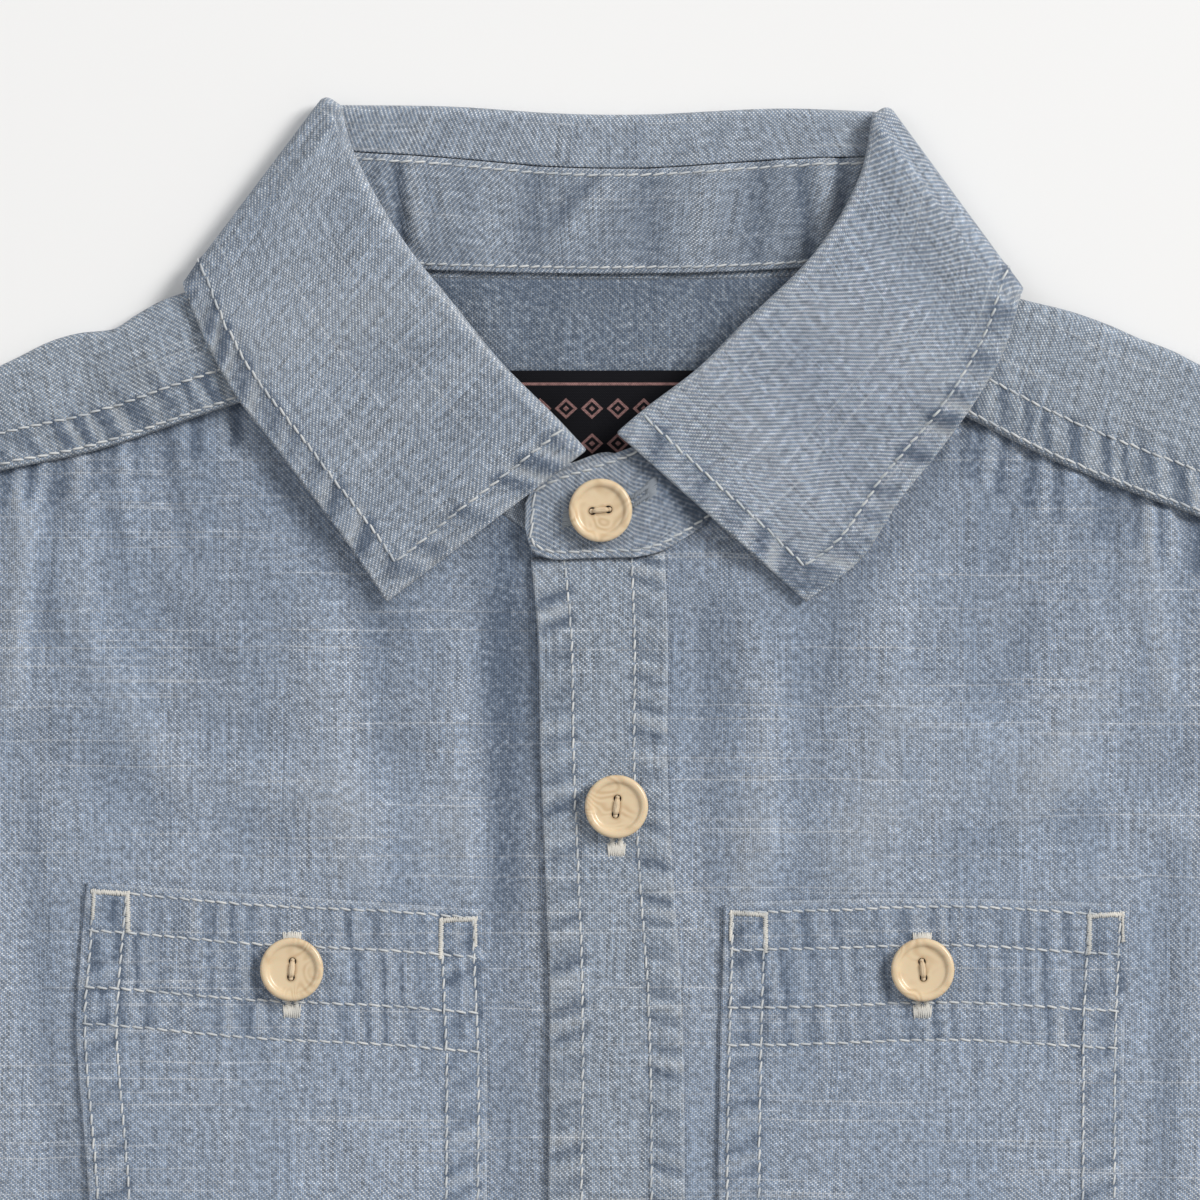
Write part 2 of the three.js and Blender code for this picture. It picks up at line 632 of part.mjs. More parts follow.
function buttonGeometry() {
  const profile = BUTTON_PROFILE.map(([radius, height]) => new THREE.Vector2(radius, height));
  const disc = new THREE.LatheGeometry(profile, 24).rotateX(Math.PI / 2);
  const drilled = [-1, 1].reduce((solid, way) => {
    const hole = new THREE.CylinderGeometry(BUTTON_HOLE.radius, BUTTON_HOLE.radius, 8, 8);
    hole.rotateX(Math.PI / 2).translate(way * BUTTON_HOLE.spread, 0, 0);
    return solid.subtract(solidOf(hole));
  }, solidOf(disc));
  const { vertProperties, triVerts } = drilled.getMesh();
  const geometry = new THREE.BufferGeometry();
  geometry.setAttribute('position', new THREE.BufferAttribute(new Float32Array(vertProperties), 3));
  geometry.setIndex(new THREE.BufferAttribute(new Uint32Array(triVerts), 1));
  return geometry;
}

// A button with its two holes in line with X, turned by "turn" about its middle.
function button(name, [x, y], base, turn = Math.PI / 2) {
  const mesh = piece(name, buttonGeometry(), HORN);
  mesh.position.set(x, y, base);
  mesh.rotation.z = turn;
  return mesh;
}

function buttons() {
  const { x, first, pitch, count } = PLACKET_BUTTONS;
  const onPlacket = (place) => placketLevel(...place) + DOUBLED / 2 + GAP;
  const row = Array.from({ length: count }, (_, i) => {
    const place = [x, first - i * pitch];
    return button(`button_placket_${i + 1}`, place, onPlacket(place));
  });
  const onPockets = Object.entries(POCKET_BUTTONS).map(([side, place]) => {
    return button(`button_pocket_${side}`, place, onFront(...place) + PANEL / 2 + GAP);
  });
  const standBase = overLevel(...STAND_BUTTON) + DOUBLED / 2 + GAP + 0.2;
  const cuffBase = DOUBLED * 2 + GAP + ON_DOUBLED + GAP;
  const outer = at(...SLEEVE_OUTER.at(-1), 0);
  const across = at(...SLEEVE_INNER.at(-1), 0).sub(outer).normalize();
  const along = across.clone().cross(UP);
  const onCuff = outer.clone()
    .addScaledVector(across, CUFF_LAP_FROM_EDGE + CUFF_LAP / 2)
    .addScaledVector(along, CUFF_DEPTH / 2);
  return [
    button('button_stand', STAND_BUTTON, standBase, 0.1),
    ...row,
    ...onPockets,
    button('button_cuff_right', [onCuff.x, onCuff.y], cuffBase, -Math.PI / 4),
    button('button_cuff_left', [-onCuff.x, onCuff.y], cuffBase, Math.PI / 4),
  ];
}

// --- The shirt ------------------------------------------------------------------------

function shirt() {
  const group = new THREE.Group();
  group.add(backPanel(), yoke(), label(), collarStand(), collarFall(), placket());
  for (const side of ['right', 'left']) {
    group.add(frontPanel(side), pocket(side), sleeve(side), cuff(side));
  }
  group.add(...buttons());
  group.updateMatrixWorld(true);
  const box = new THREE.Box3().setFromObject(group, true);
  const middle = box.getCenter(new THREE.Vector3());
  group.position.set(-middle.x, -middle.y, -box.min.z);
  return group;
}

export default shirt();
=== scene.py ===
"""Looks of a child's chambray shirt, buttoned and laid flat on a pale table.

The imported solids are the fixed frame.  Every cloth piece here stands for one of them: it is
a thin wall on the same lines, with its folds, puckered seams and sewing.  Sizes are in
millimetres, measured on the shirt: X to the wearer's left, Y towards the collar with 0 on
the shoulder line beside the neck, and Z up from the table.  Meshes are written in metres in
the row's frame.
"""

import logging
import math
from dataclasses import dataclass, field
from enum import Enum
from typing import Callable, Dict, Iterable, List, Optional, Sequence, Tuple

import bpy
import numpy as np
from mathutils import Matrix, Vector, kdtree


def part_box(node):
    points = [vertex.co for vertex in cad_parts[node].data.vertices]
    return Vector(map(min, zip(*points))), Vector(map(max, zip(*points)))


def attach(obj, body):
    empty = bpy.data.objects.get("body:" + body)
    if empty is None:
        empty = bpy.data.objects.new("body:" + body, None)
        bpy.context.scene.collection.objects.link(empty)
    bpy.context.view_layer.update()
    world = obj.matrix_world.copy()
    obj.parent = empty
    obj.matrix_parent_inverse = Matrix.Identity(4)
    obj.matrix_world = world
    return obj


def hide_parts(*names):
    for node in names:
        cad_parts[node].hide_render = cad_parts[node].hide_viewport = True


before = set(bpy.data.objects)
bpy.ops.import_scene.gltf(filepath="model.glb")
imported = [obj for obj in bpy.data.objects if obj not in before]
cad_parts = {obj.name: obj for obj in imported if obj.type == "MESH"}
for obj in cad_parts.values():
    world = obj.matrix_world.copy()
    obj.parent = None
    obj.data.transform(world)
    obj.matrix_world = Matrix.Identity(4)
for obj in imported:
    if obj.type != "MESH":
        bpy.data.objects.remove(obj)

LOG = logging.getLogger("shirt")
MM = 0.001
UV_SPAN = 100.0  # millimetres of cloth to one unit of the cloth map

Array = np.ndarray
Point = Tuple[float, float]
Height = Callable[[Array, Array], Array]


class Side(Enum):
    """The wearer's side that a piece is on, with the sign of its X."""

    RIGHT = -1
    LEFT = 1

    @property
    def word(self) -> str:
        """The side's word in node names."""
        return self.name.lower()


# --- Lines and smooth steps -----------------------------------------------------------


def smoothstep(value: Array, low: float, high: float) -> Array:
    """A smooth 0 to 1 as value goes from low to high."""
    share = np.clip((np.asarray(value, float) - low) / (high - low), 0.0, 1.0)
    return share * share * (3.0 - 2.0 * share)


def smooth_line(points: Sequence[Point], shares: Array) -> Array:
    """Points on a smooth line through an outline's points.

    Args:
        points: the outline's points, in order.
        shares: places on the line, as shares of its length from 0 to 1.

    Returns:
        One row of X and Y for each share.
    """
    p = np.asarray(points, float)
    p = np.vstack([2 * p[0] - p[1], p, 2 * p[-1] - p[-2]])
    knots = np.sqrt(np.linalg.norm(np.diff(p, axis=0), axis=1))
    before, here, after = knots[:-2, None], knots[1:-1, None], knots[2:, None]
    d0, d1, d2 = p[1:-2] - p[:-3], p[2:-1] - p[1:-2], p[3:] - p[2:-1]
    start = (d0 / before - (d0 + d1) / (before + here) + d1 / here) * here
    end = (d1 / here - (d1 + d2) / (here + after) + d2 / after) * here
    t = np.linspace(0.0, 1.0, 33)[:-1, None, None]
    dense = (
        (2 * t**3 - 3 * t**2 + 1) * p[1:-2]
        + (t**3 - 2 * t**2 + t) * start
        + (-2 * t**3 + 3 * t**2) * p[2:-1]
        + (t**3 - t**2) * end
    )
    dense = np.vstack([dense.transpose(1, 0, 2).reshape(-1, 2), p[-2]])
    length = np.concatenate([[0.0], np.cumsum(np.linalg.norm(np.diff(dense, axis=0), axis=1))])
    place = np.asarray(shares, float) * length[-1]
    return np.column_stack([np.interp(place, length, dense[:, k]) for k in (0, 1)])


def length_of(line: Array) -> float:
    """The length of a line of points."""
    return float(np.linalg.norm(np.diff(line, axis=0), axis=1).sum())


def distances(line: Array) -> Array:
    """How far each point of a line is along it."""
    return np.concatenate([[0.0], np.cumsum(np.linalg.norm(np.diff(line, axis=0), axis=1))])


def distances_across(rows: Array) -> Array:
    """How far each point of a grid is along its own row."""
    steps = np.linalg.norm(np.diff(rows, axis=1), axis=2)
    return np.concatenate([np.zeros((len(rows), 1)), np.cumsum(steps, axis=1)], axis=1)


def shares(length: float, step: float, rims: Tuple[bool, bool] = (True, True)) -> Array:
    """Shares of a length, step apart, with close lines at its free edges.

    Args:
        length: the length to divide, in millimetres.
        step: the distance between lines away from the edges.
        rims: whether the start and the end are free edges.

    Returns:
        Shares from 0 to 1.
    """
    close = np.array([0.0, 0.07, 0.24, 0.5])
    start = close if rims[0] else np.array([0.0])
    end = close if rims[1] else np.array([0.0])
    inner = np.linspace(start[-1], length - end[-1], max(int(length / step), 2) + 1)
    return np.concatenate([start[:-1], inner, (length - end[:-1])[::-1]]) / length


def join_shares(*parts: Tuple[float, float, int]) -> Array:
    """Shares made of stretches, each given as its start, its end and its steps."""
    lines = [np.linspace(start, end, steps + 1)[:-1] for start, end, steps in parts]
    return np.concatenate([*lines, [parts[-1][1]]])


def ripple(place: Array, pitch: float, seed: int) -> Array:
    """An uneven wave along a seam, about -1 to 1, with the given mean pitch.

    Args:
        place: distances along the seam.
        pitch: the mean distance from one wave to the next.
        seed: which wave.

    Returns:
        Its height at each place.
    """
    rng = np.random.default_rng(seed)
    a, b, c, d = rng.uniform(0.0, 2.0 * math.pi, 4)
    w = 2.0 * math.pi * np.asarray(place, float) / pitch
    wave = np.sin(w + a + 1.1 * np.sin(w / 3.7 + b)) + 0.45 * np.sin(1.63 * w + c)
    return wave * (0.75 + 0.35 * np.sin(w / 5.3 + d)) / 1.3


# --- How the cloth lies ---------------------------------------------------------------


@dataclass(frozen=True)
class Fold:
    """A soft ridge, or a trough where its height is negative, along a line on the cloth."""

    start: Point
    end: Point
    width: float
    height: float
    bow: float = 0.0

    def rise(self, x: Array, y: Array) -> Array:
        """How much the fold lifts the cloth at each place.

        Args:
            x: X of the places, in millimetres.
            y: Y of the places, in millimetres.

        Returns:
            The lift in millimetres.
        """
        run = np.subtract(self.end, self.start)
        length = float(np.hypot(*run))
        along = ((x - self.start[0]) * run[0] + (y - self.start[1]) * run[1]) / length
        away = ((x - self.start[0]) * run[1] - (y - self.start[1]) * run[0]) / length
        away = away - self.bow * np.sin(math.pi * np.clip(along / length, 0.0, 1.0))
        past = np.maximum(np.maximum(-along, along - length), 0.0)
        reach = self.width * 1.4
        return self.height * np.exp(-((away / self.width) ** 2) - (past / reach) ** 2)


def rise_of(folds: Iterable[Fold], x: Array, y: Array) -> Array:
    """The lift of several folds together.

    Args:
        folds: the folds.
        x: X of the places, in millimetres.
        y: Y of the places, in millimetres.

    Returns:
        The lift in millimetres.
    """
    total = np.zeros(np.broadcast(x, y).shape)
    for fold in folds:
        total = total + fold.rise(x, y)
    return total


@dataclass(frozen=True)
class Layers:
    """The levels of the stacked cloth: a panel, a turned piece and the air between."""

    panel: float = 1.0
    doubled: float = 1.2
    gap: float = 0.3

    @property
    def back(self) -> float:
        """Middle of the panel on the table."""
        return self.panel / 2

    @property
    def front(self) -> float:
        """Middle of a front that lies on the back."""
        return self.back + self.panel + self.gap

    @property
    def on_panel(self) -> float:
        """From a panel's middle to the middle of a panel on it."""
        return self.panel + self.gap

    @property
    def turned_on_panel(self) -> float:
        """From a panel's middle to the middle of a turned piece on it."""
        return (self.panel + self.doubled) / 2 + self.gap + 0.1

    @property
    def on_doubled(self) -> float:
        """From one turned piece's middle to the next one's."""
        return self.doubled + self.gap


@dataclass(frozen=True)
class Lay:
    """How the shirt lies on the table: the heights of its layers at each place."""

    layers: Layers = Layers()
    neck_half_width: float = 58.0
    neck_depth: float = 56.0
    hem: float = -500.0
    hem_rise: float = 28.0
    lift: float = 1.5
    deepest: float = 0.4
    broad_folds: Tuple[Fold, ...] = (
        Fold((-60, -78), (-52, -330), 26, 1.2),
        Fold((64, -82), (55, -340), 26, 1.1),
        Fold((-140, -120), (-40, -215), 22, 0.8),
        Fold((140, -130), (45, -235), 22, 0.7),
        Fold((-95, -260), (-122, -455), 24, 1.1),
        Fold((90, -270), (116, -450), 24, 1.0),
    )
    creases: Tuple[Fold, ...] = (
        Fold((-21, -66), (-19, -196), 4.5, -0.55),
        Fold((-30, -70), (-27, -118), 3.4, 0.30, 1.0),
        Fold((21, -64), (20, -118), 3.6, -0.5),
        Fold((31, -70), (29, -119), 4.0, 0.35, -1.2),
        Fold((44, -72), (38, -118), 4.5, -0.3, 1.5),
        Fold((-46, -72), (-42, -116), 4.2, -0.28, -1.5),
        # This trough and the next one lie along the leaves' edges and also carry the leaves'
        # painted shadow onto the fronts.
        Fold((-65, -38), (-46, -65), 4.4, -0.5, 0.0),
        Fold((66, -34), (45, -63), 3.6, -0.3, 0.0),
        Fold((-117, -42), (-120, -82), 3.4, 0.75, -1.0),
        Fold((-111, -40), (-113, -66), 2.6, -0.5, 0.5),
        Fold((-96, -33), (-94, -56), 2.4, 0.35, 0.5),
        Fold((-88, -30), (-84, -50), 2.2, -0.35, 0.5),
        Fold((-103, -36), (-104, -60), 2.2, 0.3, 0.5),
        Fold((110, -44), (112, -78), 3.2, 0.55, 1.0),
        Fold((102, -40), (101, -62), 2.4, -0.4, -0.5),
        Fold((93, -36), (88, -60), 2.6, 0.35, -0.5),
        Fold((84, -32), (78, -52), 2.2, -0.3, -0.5),
        Fold((-57, -62), (-50, -112), 6.0, 0.35, 2.0),
        Fold((58, -62), (50, -112), 6.0, 0.35, -2.0),
        Fold((-84, -82), (-40, -90), 4.5, -0.22, 1.5),
        Fold((112, -105), (60, -84), 5.0, 0.3, 1.5),
        Fold((-116, -100), (-109, -180), 3.6, -0.45, 1.0),
        Fold((112, -112), (109, -190), 3.6, -0.45, -1.0),
        Fold((-112, -48), (-84, -100), 5.0, 0.42, 2.0),
        Fold((-100, -44), (-78, -74), 3.2, -0.25, 1.0),
        Fold((104, -54), (84, -104), 5.5, 0.45, -2.0),
        Fold((92, -47), (78, -78), 3.4, -0.28, -1.0),
        Fold((-118, -86), (-66, -108), 6.0, -0.35, 2.5),
        Fold((118, -92), (70, -112), 6.0, -0.35, -2.5),
        Fold((-70, -96), (-30, -106), 5.0, 0.25, 1.5),
        Fold((72, -98), (34, -108), 5.0, 0.22, -1.5),
        Fold((-19, -210), (-24, -430), 6.0, -0.6, 3.0),
        Fold((24, -225), (29, -450), 6.5, -0.6, -3.0),
        Fold((-150, -215), (-90, -265), 7.0, 0.6, 3.0),
        Fold((152, -220), (95, -280), 7.0, 0.55, -3.0),
        Fold((-160, -330), (-80, -375), 8.0, -0.5, 4.0),
        Fold((158, -345), (85, -390), 8.0, -0.5, -4.0),
    )

    def collar_lift(self, x: Array, y: Array) -> Array:
        """The lift that the fall under the back of the neck gives to what lies on it."""
        away = np.hypot(np.maximum(np.abs(x) - 86, 0.0), np.maximum(-11 - y, 0.0))
        return self.lift * (1.0 - smoothstep(away, 0.0, 14.0))

    def neck_rise(self, x: Array, y: Array) -> Array:
        """The rise of the fronts towards the stand that holds them up."""
        along = np.minimum(y - 4, 0.0) / self.neck_depth
        away = np.maximum(np.hypot(x / self.neck_half_width, along) - 1.0, 0.0)
        return 2.2 * np.exp(-((away * self.neck_half_width / 26.0) ** 2))

    def inside_body(self, x: Array, y: Array) -> Array:
        """0 on the armholes, side seams and hem, and 1 well inside them."""
        half_width = 183.0 - 35.0 * smoothstep(y, -176.0, -100.0)
        across = smoothstep(half_width - np.abs(x), 0.0, 45.0)
        return across * smoothstep(y - self.hem - self.hem_rise, 0.0, 40.0)

    def back_height(self, x: Array, y: Array) -> Array:
        """Middle of the back panel and of the yoke's back part."""
        return self.layers.back + self.collar_lift(x, y)

    def front_height(self, x: Array, y: Array) -> Array:
        """Middle of the front panels.

        Args:
            x: X of the places, in millimetres.
            y: Y of the places, in millimetres.

        Returns:
            The heights in millimetres.
        """
        folds = 0.5 + rise_of(self.broad_folds, x, y) + 2.5 * rise_of(self.creases, x, y)
        base = self.layers.front + self.collar_lift(x, y) + self.neck_rise(x, y)
        above_lowest = folds * self.inside_body(x, y) + self.deepest
        return base - self.deepest + 0.5 * (above_lowest + np.sqrt(above_lowest**2 + 0.04))

    def hem_at(self, x: Array) -> Array:
        """Where the hem is, curved up at the side seams."""
        return self.hem + self.hem_rise * smoothstep(np.abs(x), 60.0, 186.0)


LAY = Lay()
LAYERS = LAY.layers


# --- Cloth walls ----------------------------------------------------------------------


@dataclass
class Grid:
    """A grid of points through the middle of a cloth wall.

    Attributes:
        points: rows, columns and X, Y, Z in millimetres on the shirt.
        cloth: the same grid's places on the flat cloth, across and along its grain.
        rims: which sides are free edges: first row, last row, first and last column.
        wear_and_shade: how worn pale the cloth is, and below 0 how dark; besides wear it holds
            painted shade in troughs, seam grooves, under the collar and inside the neck, and
            painted highlight on fold ridges and pucker tops.
    """

    points: Array
    cloth: Array
    rims: Tuple[bool, bool, bool, bool] = (True, True, True, True)
    wear_and_shade: Array = field(default_factory=lambda: np.zeros(0))

    def __post_init__(self) -> None:
        """Starts with no wear and no painted shade."""
        if not self.wear_and_shade.size:
            self.wear_and_shade = np.zeros(self.points.shape[:2])

    @property
    def x(self) -> Array:
        """X of each point."""
        return self.points[..., 0]

    @property
    def y(self) -> Array:
        """Y of each point."""
        return self.points[..., 1]

    def facing(self, up: bool = True, place: Tuple[float, float] = (0.0, 1.0)) -> "Grid":
        """The same grid with its outer face turned up, or down, at one place.

        Args:
            up: whether the outer face is to look up there.
            place: shares of the way down the rows and over the columns.

        Returns:
            The grid, with its rows in reverse order where they had to be.
        """
        rows, columns = self.points.shape[:2]
        i = min(int(place[0] * (rows - 1)), rows - 2)
        j = min(int(place[1] * (columns - 1)), columns - 2)
        here = self.points[i, j]
        over, down = self.points[i, j + 1] - here, self.points[i + 1, j] - here
        if (np.cross(over, down)[2] > 0) == up:
            return self
        rims = (self.rims[1], self.rims[0], self.rims[2], self.rims[3])
        return Grid(self.points[::-1], self.cloth[::-1], rims, self.wear_and_shade[::-1])

    def rim_distance(self) -> Array:
        """How far each point is from the nearest free edge, along the grid's own lines.

        Returns:
            The distances in millimetres.
        """
        down = np.linalg.norm(np.diff(self.points, axis=0), axis=2)
        over = np.linalg.norm(np.diff(self.points, axis=1), axis=2)
        rows = np.vstack([np.zeros(down.shape[1]), np.cumsum(down, axis=0)])
        columns = np.hstack([np.zeros((over.shape[0], 1)), np.cumsum(over, axis=1)])
        sides = [rows, rows[-1] - rows, columns, columns[:, -1:] - columns]
        free = [side for side, rim in zip(sides, self.rims) if rim]
        return np.minimum.reduce(free) if free else np.full(self.points.shape[:2], 99.0)


@dataclass
class Wall:
    """A finished cloth wall.

    Attributes:
        piece: its object.
        outer: the points of its outer face, a grid for each grid it was made from.
        inner: the same for its inner face.
        flat: width and length of its cut in metres.
        area: area of its cut in square metres.
    """

    piece: bpy.types.Object
    outer: List[Array]
    inner: List[Array]
    flat: Tuple[float, float]
    area: float


def row_place(points: Array) -> Array:
    """Points on the shirt, in millimetres, as places in the row's frame, in metres."""
    return np.asarray(points, float) * MM + np.array([0.0, ORIGIN_Y, 0.0])


ORIGIN_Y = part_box("back_panel")[0].y - LAY.hem * MM
LOWEST = 0.01  # nothing lies lower over the table, in millimetres


def plain_object(name: str, points: Sequence, faces: Sequence) -> bpy.types.Object:
    """An object in the scene from its points in metres and its faces."""
    mesh = bpy.data.meshes.new(name)
    mesh.from_pydata(points, [], faces)
    piece = bpy.data.objects.new(name, mesh)
    bpy.context.scene.collection.objects.link(piece)
    return piece


def new_mesh(
    name: str, points: Array, faces: Array, material: bpy.types.Material
) -> bpy.types.Object:
    """A smooth mesh object in the row's frame.

    Args:
        name: the piece's name.
        points: its vertices in millimetres on the shirt.
        faces: its faces, all with as many corners.
        material: its finish.

    Returns:
        The object, linked to the scene.
    """
    points = np.array(points, float)
    points[:, 2] = np.maximum(points[:, 2], LOWEST)
    piece = plain_object(name, row_place(points).tolist(), np.asarray(faces).tolist())
    piece.data.polygons.foreach_set("use_smooth", np.ones(len(piece.data.polygons), bool))
    piece.data.materials.append(material)
    piece.data.update()
    return piece


def build_wall(
    name: str, grids: Sequence[Grid], thickness: float, material: bpy.types.Material
) -> Wall:
    """Gives grids their thickness, with rounded free edges, as one closed mesh.

    Args:
        name: the piece's name.
        grids: the grids through its middle. Where they share points, they join.
        thickness: the wall's thickness in millimetres.
        material: its finish.

    Returns:
        The wall.
    """
    raw = np.concatenate([grid.points.reshape(-1, 3) for grid in grids])
    cloth = np.concatenate([grid.cloth.reshape(-1, 2) for grid in grids])
    wear_and_shade = np.concatenate([grid.wear_and_shade.ravel() for grid in grids])
    rim = np.concatenate([grid.rim_distance().ravel() for grid in grids])
    quads, start = [], 0
    for grid in grids:
        rows, columns = grid.points.shape[:2]
        index = start + np.arange(rows * columns).reshape(rows, columns)
        corners = [index[:-1, :-1], index[:-1, 1:], index[1:, 1:], index[1:, :-1]]
        quads.append(np.stack(corners, axis=-1).reshape(-1, 4))
        start += rows * columns
    raw_quads = np.concatenate(quads)
    key = np.round(raw * 250.0).astype(np.int64)
    _, first, inverse = np.unique(key, axis=0, return_index=True, return_inverse=True)
    inverse = inverse.ravel()
    quads = inverse[raw_quads]
    points = raw[first]
    first_way = points[quads[:, 2]] - points[quads[:, 0]]
    second_way = points[quads[:, 3]] - points[quads[:, 1]]
    diagonal = np.cross(first_way, second_way)
    normals = np.zeros_like(points)
    for corner in range(4):
        np.add.at(normals, quads[:, corner], diagonal)
    normals /= np.maximum(np.linalg.norm(normals, axis=1, keepdims=True), 1e-12)
    count = len(points)
    edges = np.concatenate([quads[:, [k, (k + 1) % 4]] for k in range(4)])
    forward, backward = edges[:, 0] * count + edges[:, 1], edges[:, 1] * count + edges[:, 0]
    lone = edges[~np.isin(forward, backward)]
    on_rim = np.zeros(count, bool)
    on_rim[lone.ravel()] = True
    half = thickness / 2
    near = np.clip(rim[first] / half, 0.0, 1.0)
    offset = half * np.sqrt(1.0 - (1.0 - near) ** 2)
    offset[on_rim] = 0.0
    outer = points + normals * offset[:, None]
    under = points - normals * offset[:, None]
    below = np.where(on_rim, np.arange(count), count + np.cumsum(~on_rim) - 1)
    vertices = np.vstack([outer, under[~on_rim]])
    faces = np.vstack([quads, below[quads][:, ::-1]])
    piece = new_mesh(name, vertices, faces, material)
    loops = np.vstack([raw_quads, raw_quads[:, ::-1]]).ravel()
    layer = piece.data.uv_layers.new(name="Cloth")
    layer.data.foreach_set("uv", (cloth[loops] / UV_SPAN).astype(np.float32).ravel())
    # The attribute holds wear together with painted shade and highlight.
    attribute = piece.data.attributes.new("wear_and_shade", "FLOAT", "POINT")
    values = np.concatenate([wear_and_shade[first], wear_and_shade[first][~on_rim]])
    attribute.data.foreach_set("value", values.astype(np.float32))
    sizes = np.cumsum([0] + [grid.points.shape[0] * grid.points.shape[1] for grid in grids])

    def as_grids(face: Array) -> List[Array]:
        """One face's points, as a grid for each grid of the wall."""
        spread = face[inverse]
        return [spread[a:b].reshape(*g.points.shape) for a, b, g in zip(sizes, sizes[1:], grids)]

    area = float(np.linalg.norm(diagonal, axis=1).sum()) / 2 * MM * MM
    reach = np.ptp(cloth, axis=0) * MM
    flat = (float(reach[0]), float(max(reach[1], area / reach[0])))
    return Wall(piece, as_grids(outer), as_grids(under), flat, area)


def between(first: Array, second: Array, across: Array, height: Height) -> Array:
    """Rows of points between two lines with as many points each, laid at a height."""
    share = across[None, :, None]
    flat = first[:, None, :] * (1.0 - share) + second[:, None, :] * share
    return np.dstack([flat, height(flat[..., 0], flat[..., 1])])


def plan_cloth(points: Array) -> Array:
    """The flat cloth of a piece cut with its grain along Y."""
    return points[..., :2].copy()


# --- Sewing ---------------------------------------------------------------------------


@dataclass(frozen=True)
class Seam:
    """A row of sewing along a line on the flat cloth, with the puckers it draws up.

    Attributes:
        line: points of the line on the flat cloth.
        groove: how deep the thread pulls the cloth in.
        roping: height of the puckers between band's two distances from the line.
        band: distances to the line's left side where the puckers start and end.
        pitch: from one pucker to the next.
        slant: how far the puckers lean along the line.
        shade: how much paler their tops and darker their hollows are, partly as wash wear and
            partly as painted light and shade.
        seed: which puckers.
    """

    line: Tuple[Point, ...]
    groove: float = 0.22
    roping: float = 0.12
    band: Tuple[float, float] = (-3.0, 3.0)
    pitch: float = 6.0
    slant: float = 0.5
    shade: float = 0.5
    seed: int = 1

    def near(self, cloth: Array) -> Tuple[Array, Array]:
        """How far along the line and to its left each place of the cloth is.

        Args:
            cloth: places on the flat cloth.

        Returns:
            The distances along the line, and those to its left.
        """
        line = np.asarray(self.line, float)
        steps = np.diff(line, axis=0)
        lengths = np.linalg.norm(steps, axis=1)
        starts = np.concatenate([[0.0], np.cumsum(lengths)])
        best = np.full(cloth.shape[:-1], np.inf)
        along, away = np.zeros(best.shape), np.full(best.shape, 99.0)
        for a, step, length, start in zip(line, steps, lengths, starts):
            unit = step / length
            d = cloth - a
            t = np.clip(d @ unit, 0.0, length)
            off = d - t[..., None] * unit
            distance = np.hypot(off[..., 0], off[..., 1])
            side = np.sign(unit[0] * d[..., 1] - unit[1] * d[..., 0])
            closer = distance < best
            best = np.where(closer, distance, best)
            along = np.where(closer, start + t, along)
            away = np.where(closer, side * distance, away)
        return along, away

    def draw_up(self, grid: Grid, normals: Array) -> None:
        """Pulls the cloth in along the row, puckers it, and paints light and shade on the puckers
        and shade in its groove.

        Args:
            grid: the cloth, which is changed.
            normals: the directions out of its outer face.
        """
        along, away = self.near(grid.cloth)
        low, high = self.band
        window = smoothstep(away, low - 0.8, low + 0.8)
        window = window * (1.0 - smoothstep(away, high - 0.8, high + 0.8))
        wave = ripple(along + self.slant * away, self.pitch, self.seed)
        fine = ripple(along - 0.3 * away, 2.7, self.seed + 50)
        line = np.exp(-((away / 0.55) ** 2))
        rise = 1.5 * self.roping * wave * window - self.groove * line * (0.7 + 0.3 * fine)
        grid.points = grid.points + normals * rise[..., None]
        # Paler pucker tops and darker hollows: partly wash wear, partly painted light and shade.
        grid.wear_and_shade = grid.wear_and_shade + (1.7 * self.shade * (wave - 0.25)) * window
        # Painted shade in the groove that the thread pulls in.
        grid.wear_and_shade = grid.wear_and_shade - (0.5 + 0.35 * fine) * line


def offset_line(line: Array, distance: float) -> Array:
    """A line moved to its left by a distance."""
    run = np.gradient(line, axis=0)
    run /= np.linalg.norm(run, axis=1, keepdims=True)
    return line + distance * np.column_stack([-run[:, 1], run[:, 0]])


def as_points(line: Array) -> Tuple[Point, ...]:
    """A line's points as plain pairs."""
    return tuple((float(x), float(y)) for x, y in line)


def grid_normals(grid: Grid) -> Array:
    """Directions out of the cloth's outer face at each point of a grid."""
    over, down = np.gradient(grid.points, axis=1), np.gradient(grid.points, axis=0)
    normals = np.cross(over, down)
    return normals / np.maximum(np.linalg.norm(normals, axis=2, keepdims=True), 1e-9)


def sewn(grid: Grid, seams: Sequence[Seam], edge_wear: float = 0.7) -> Grid:
    """A grid with its seams drawn up and its free edges worn pale.

    Args:
        grid: the cloth.
        seams: its rows of sewing.
        edge_wear: how pale its free edges are worn.

    Returns:
        The grid.
    """
    normals = grid_normals(grid)
    for seam in seams:
        seam.draw_up(grid, normals)
    grid.wear_and_shade = grid.wear_and_shade + edge_wear * np.exp(-((grid.rim_distance() / 0.8) ** 2))
    return grid


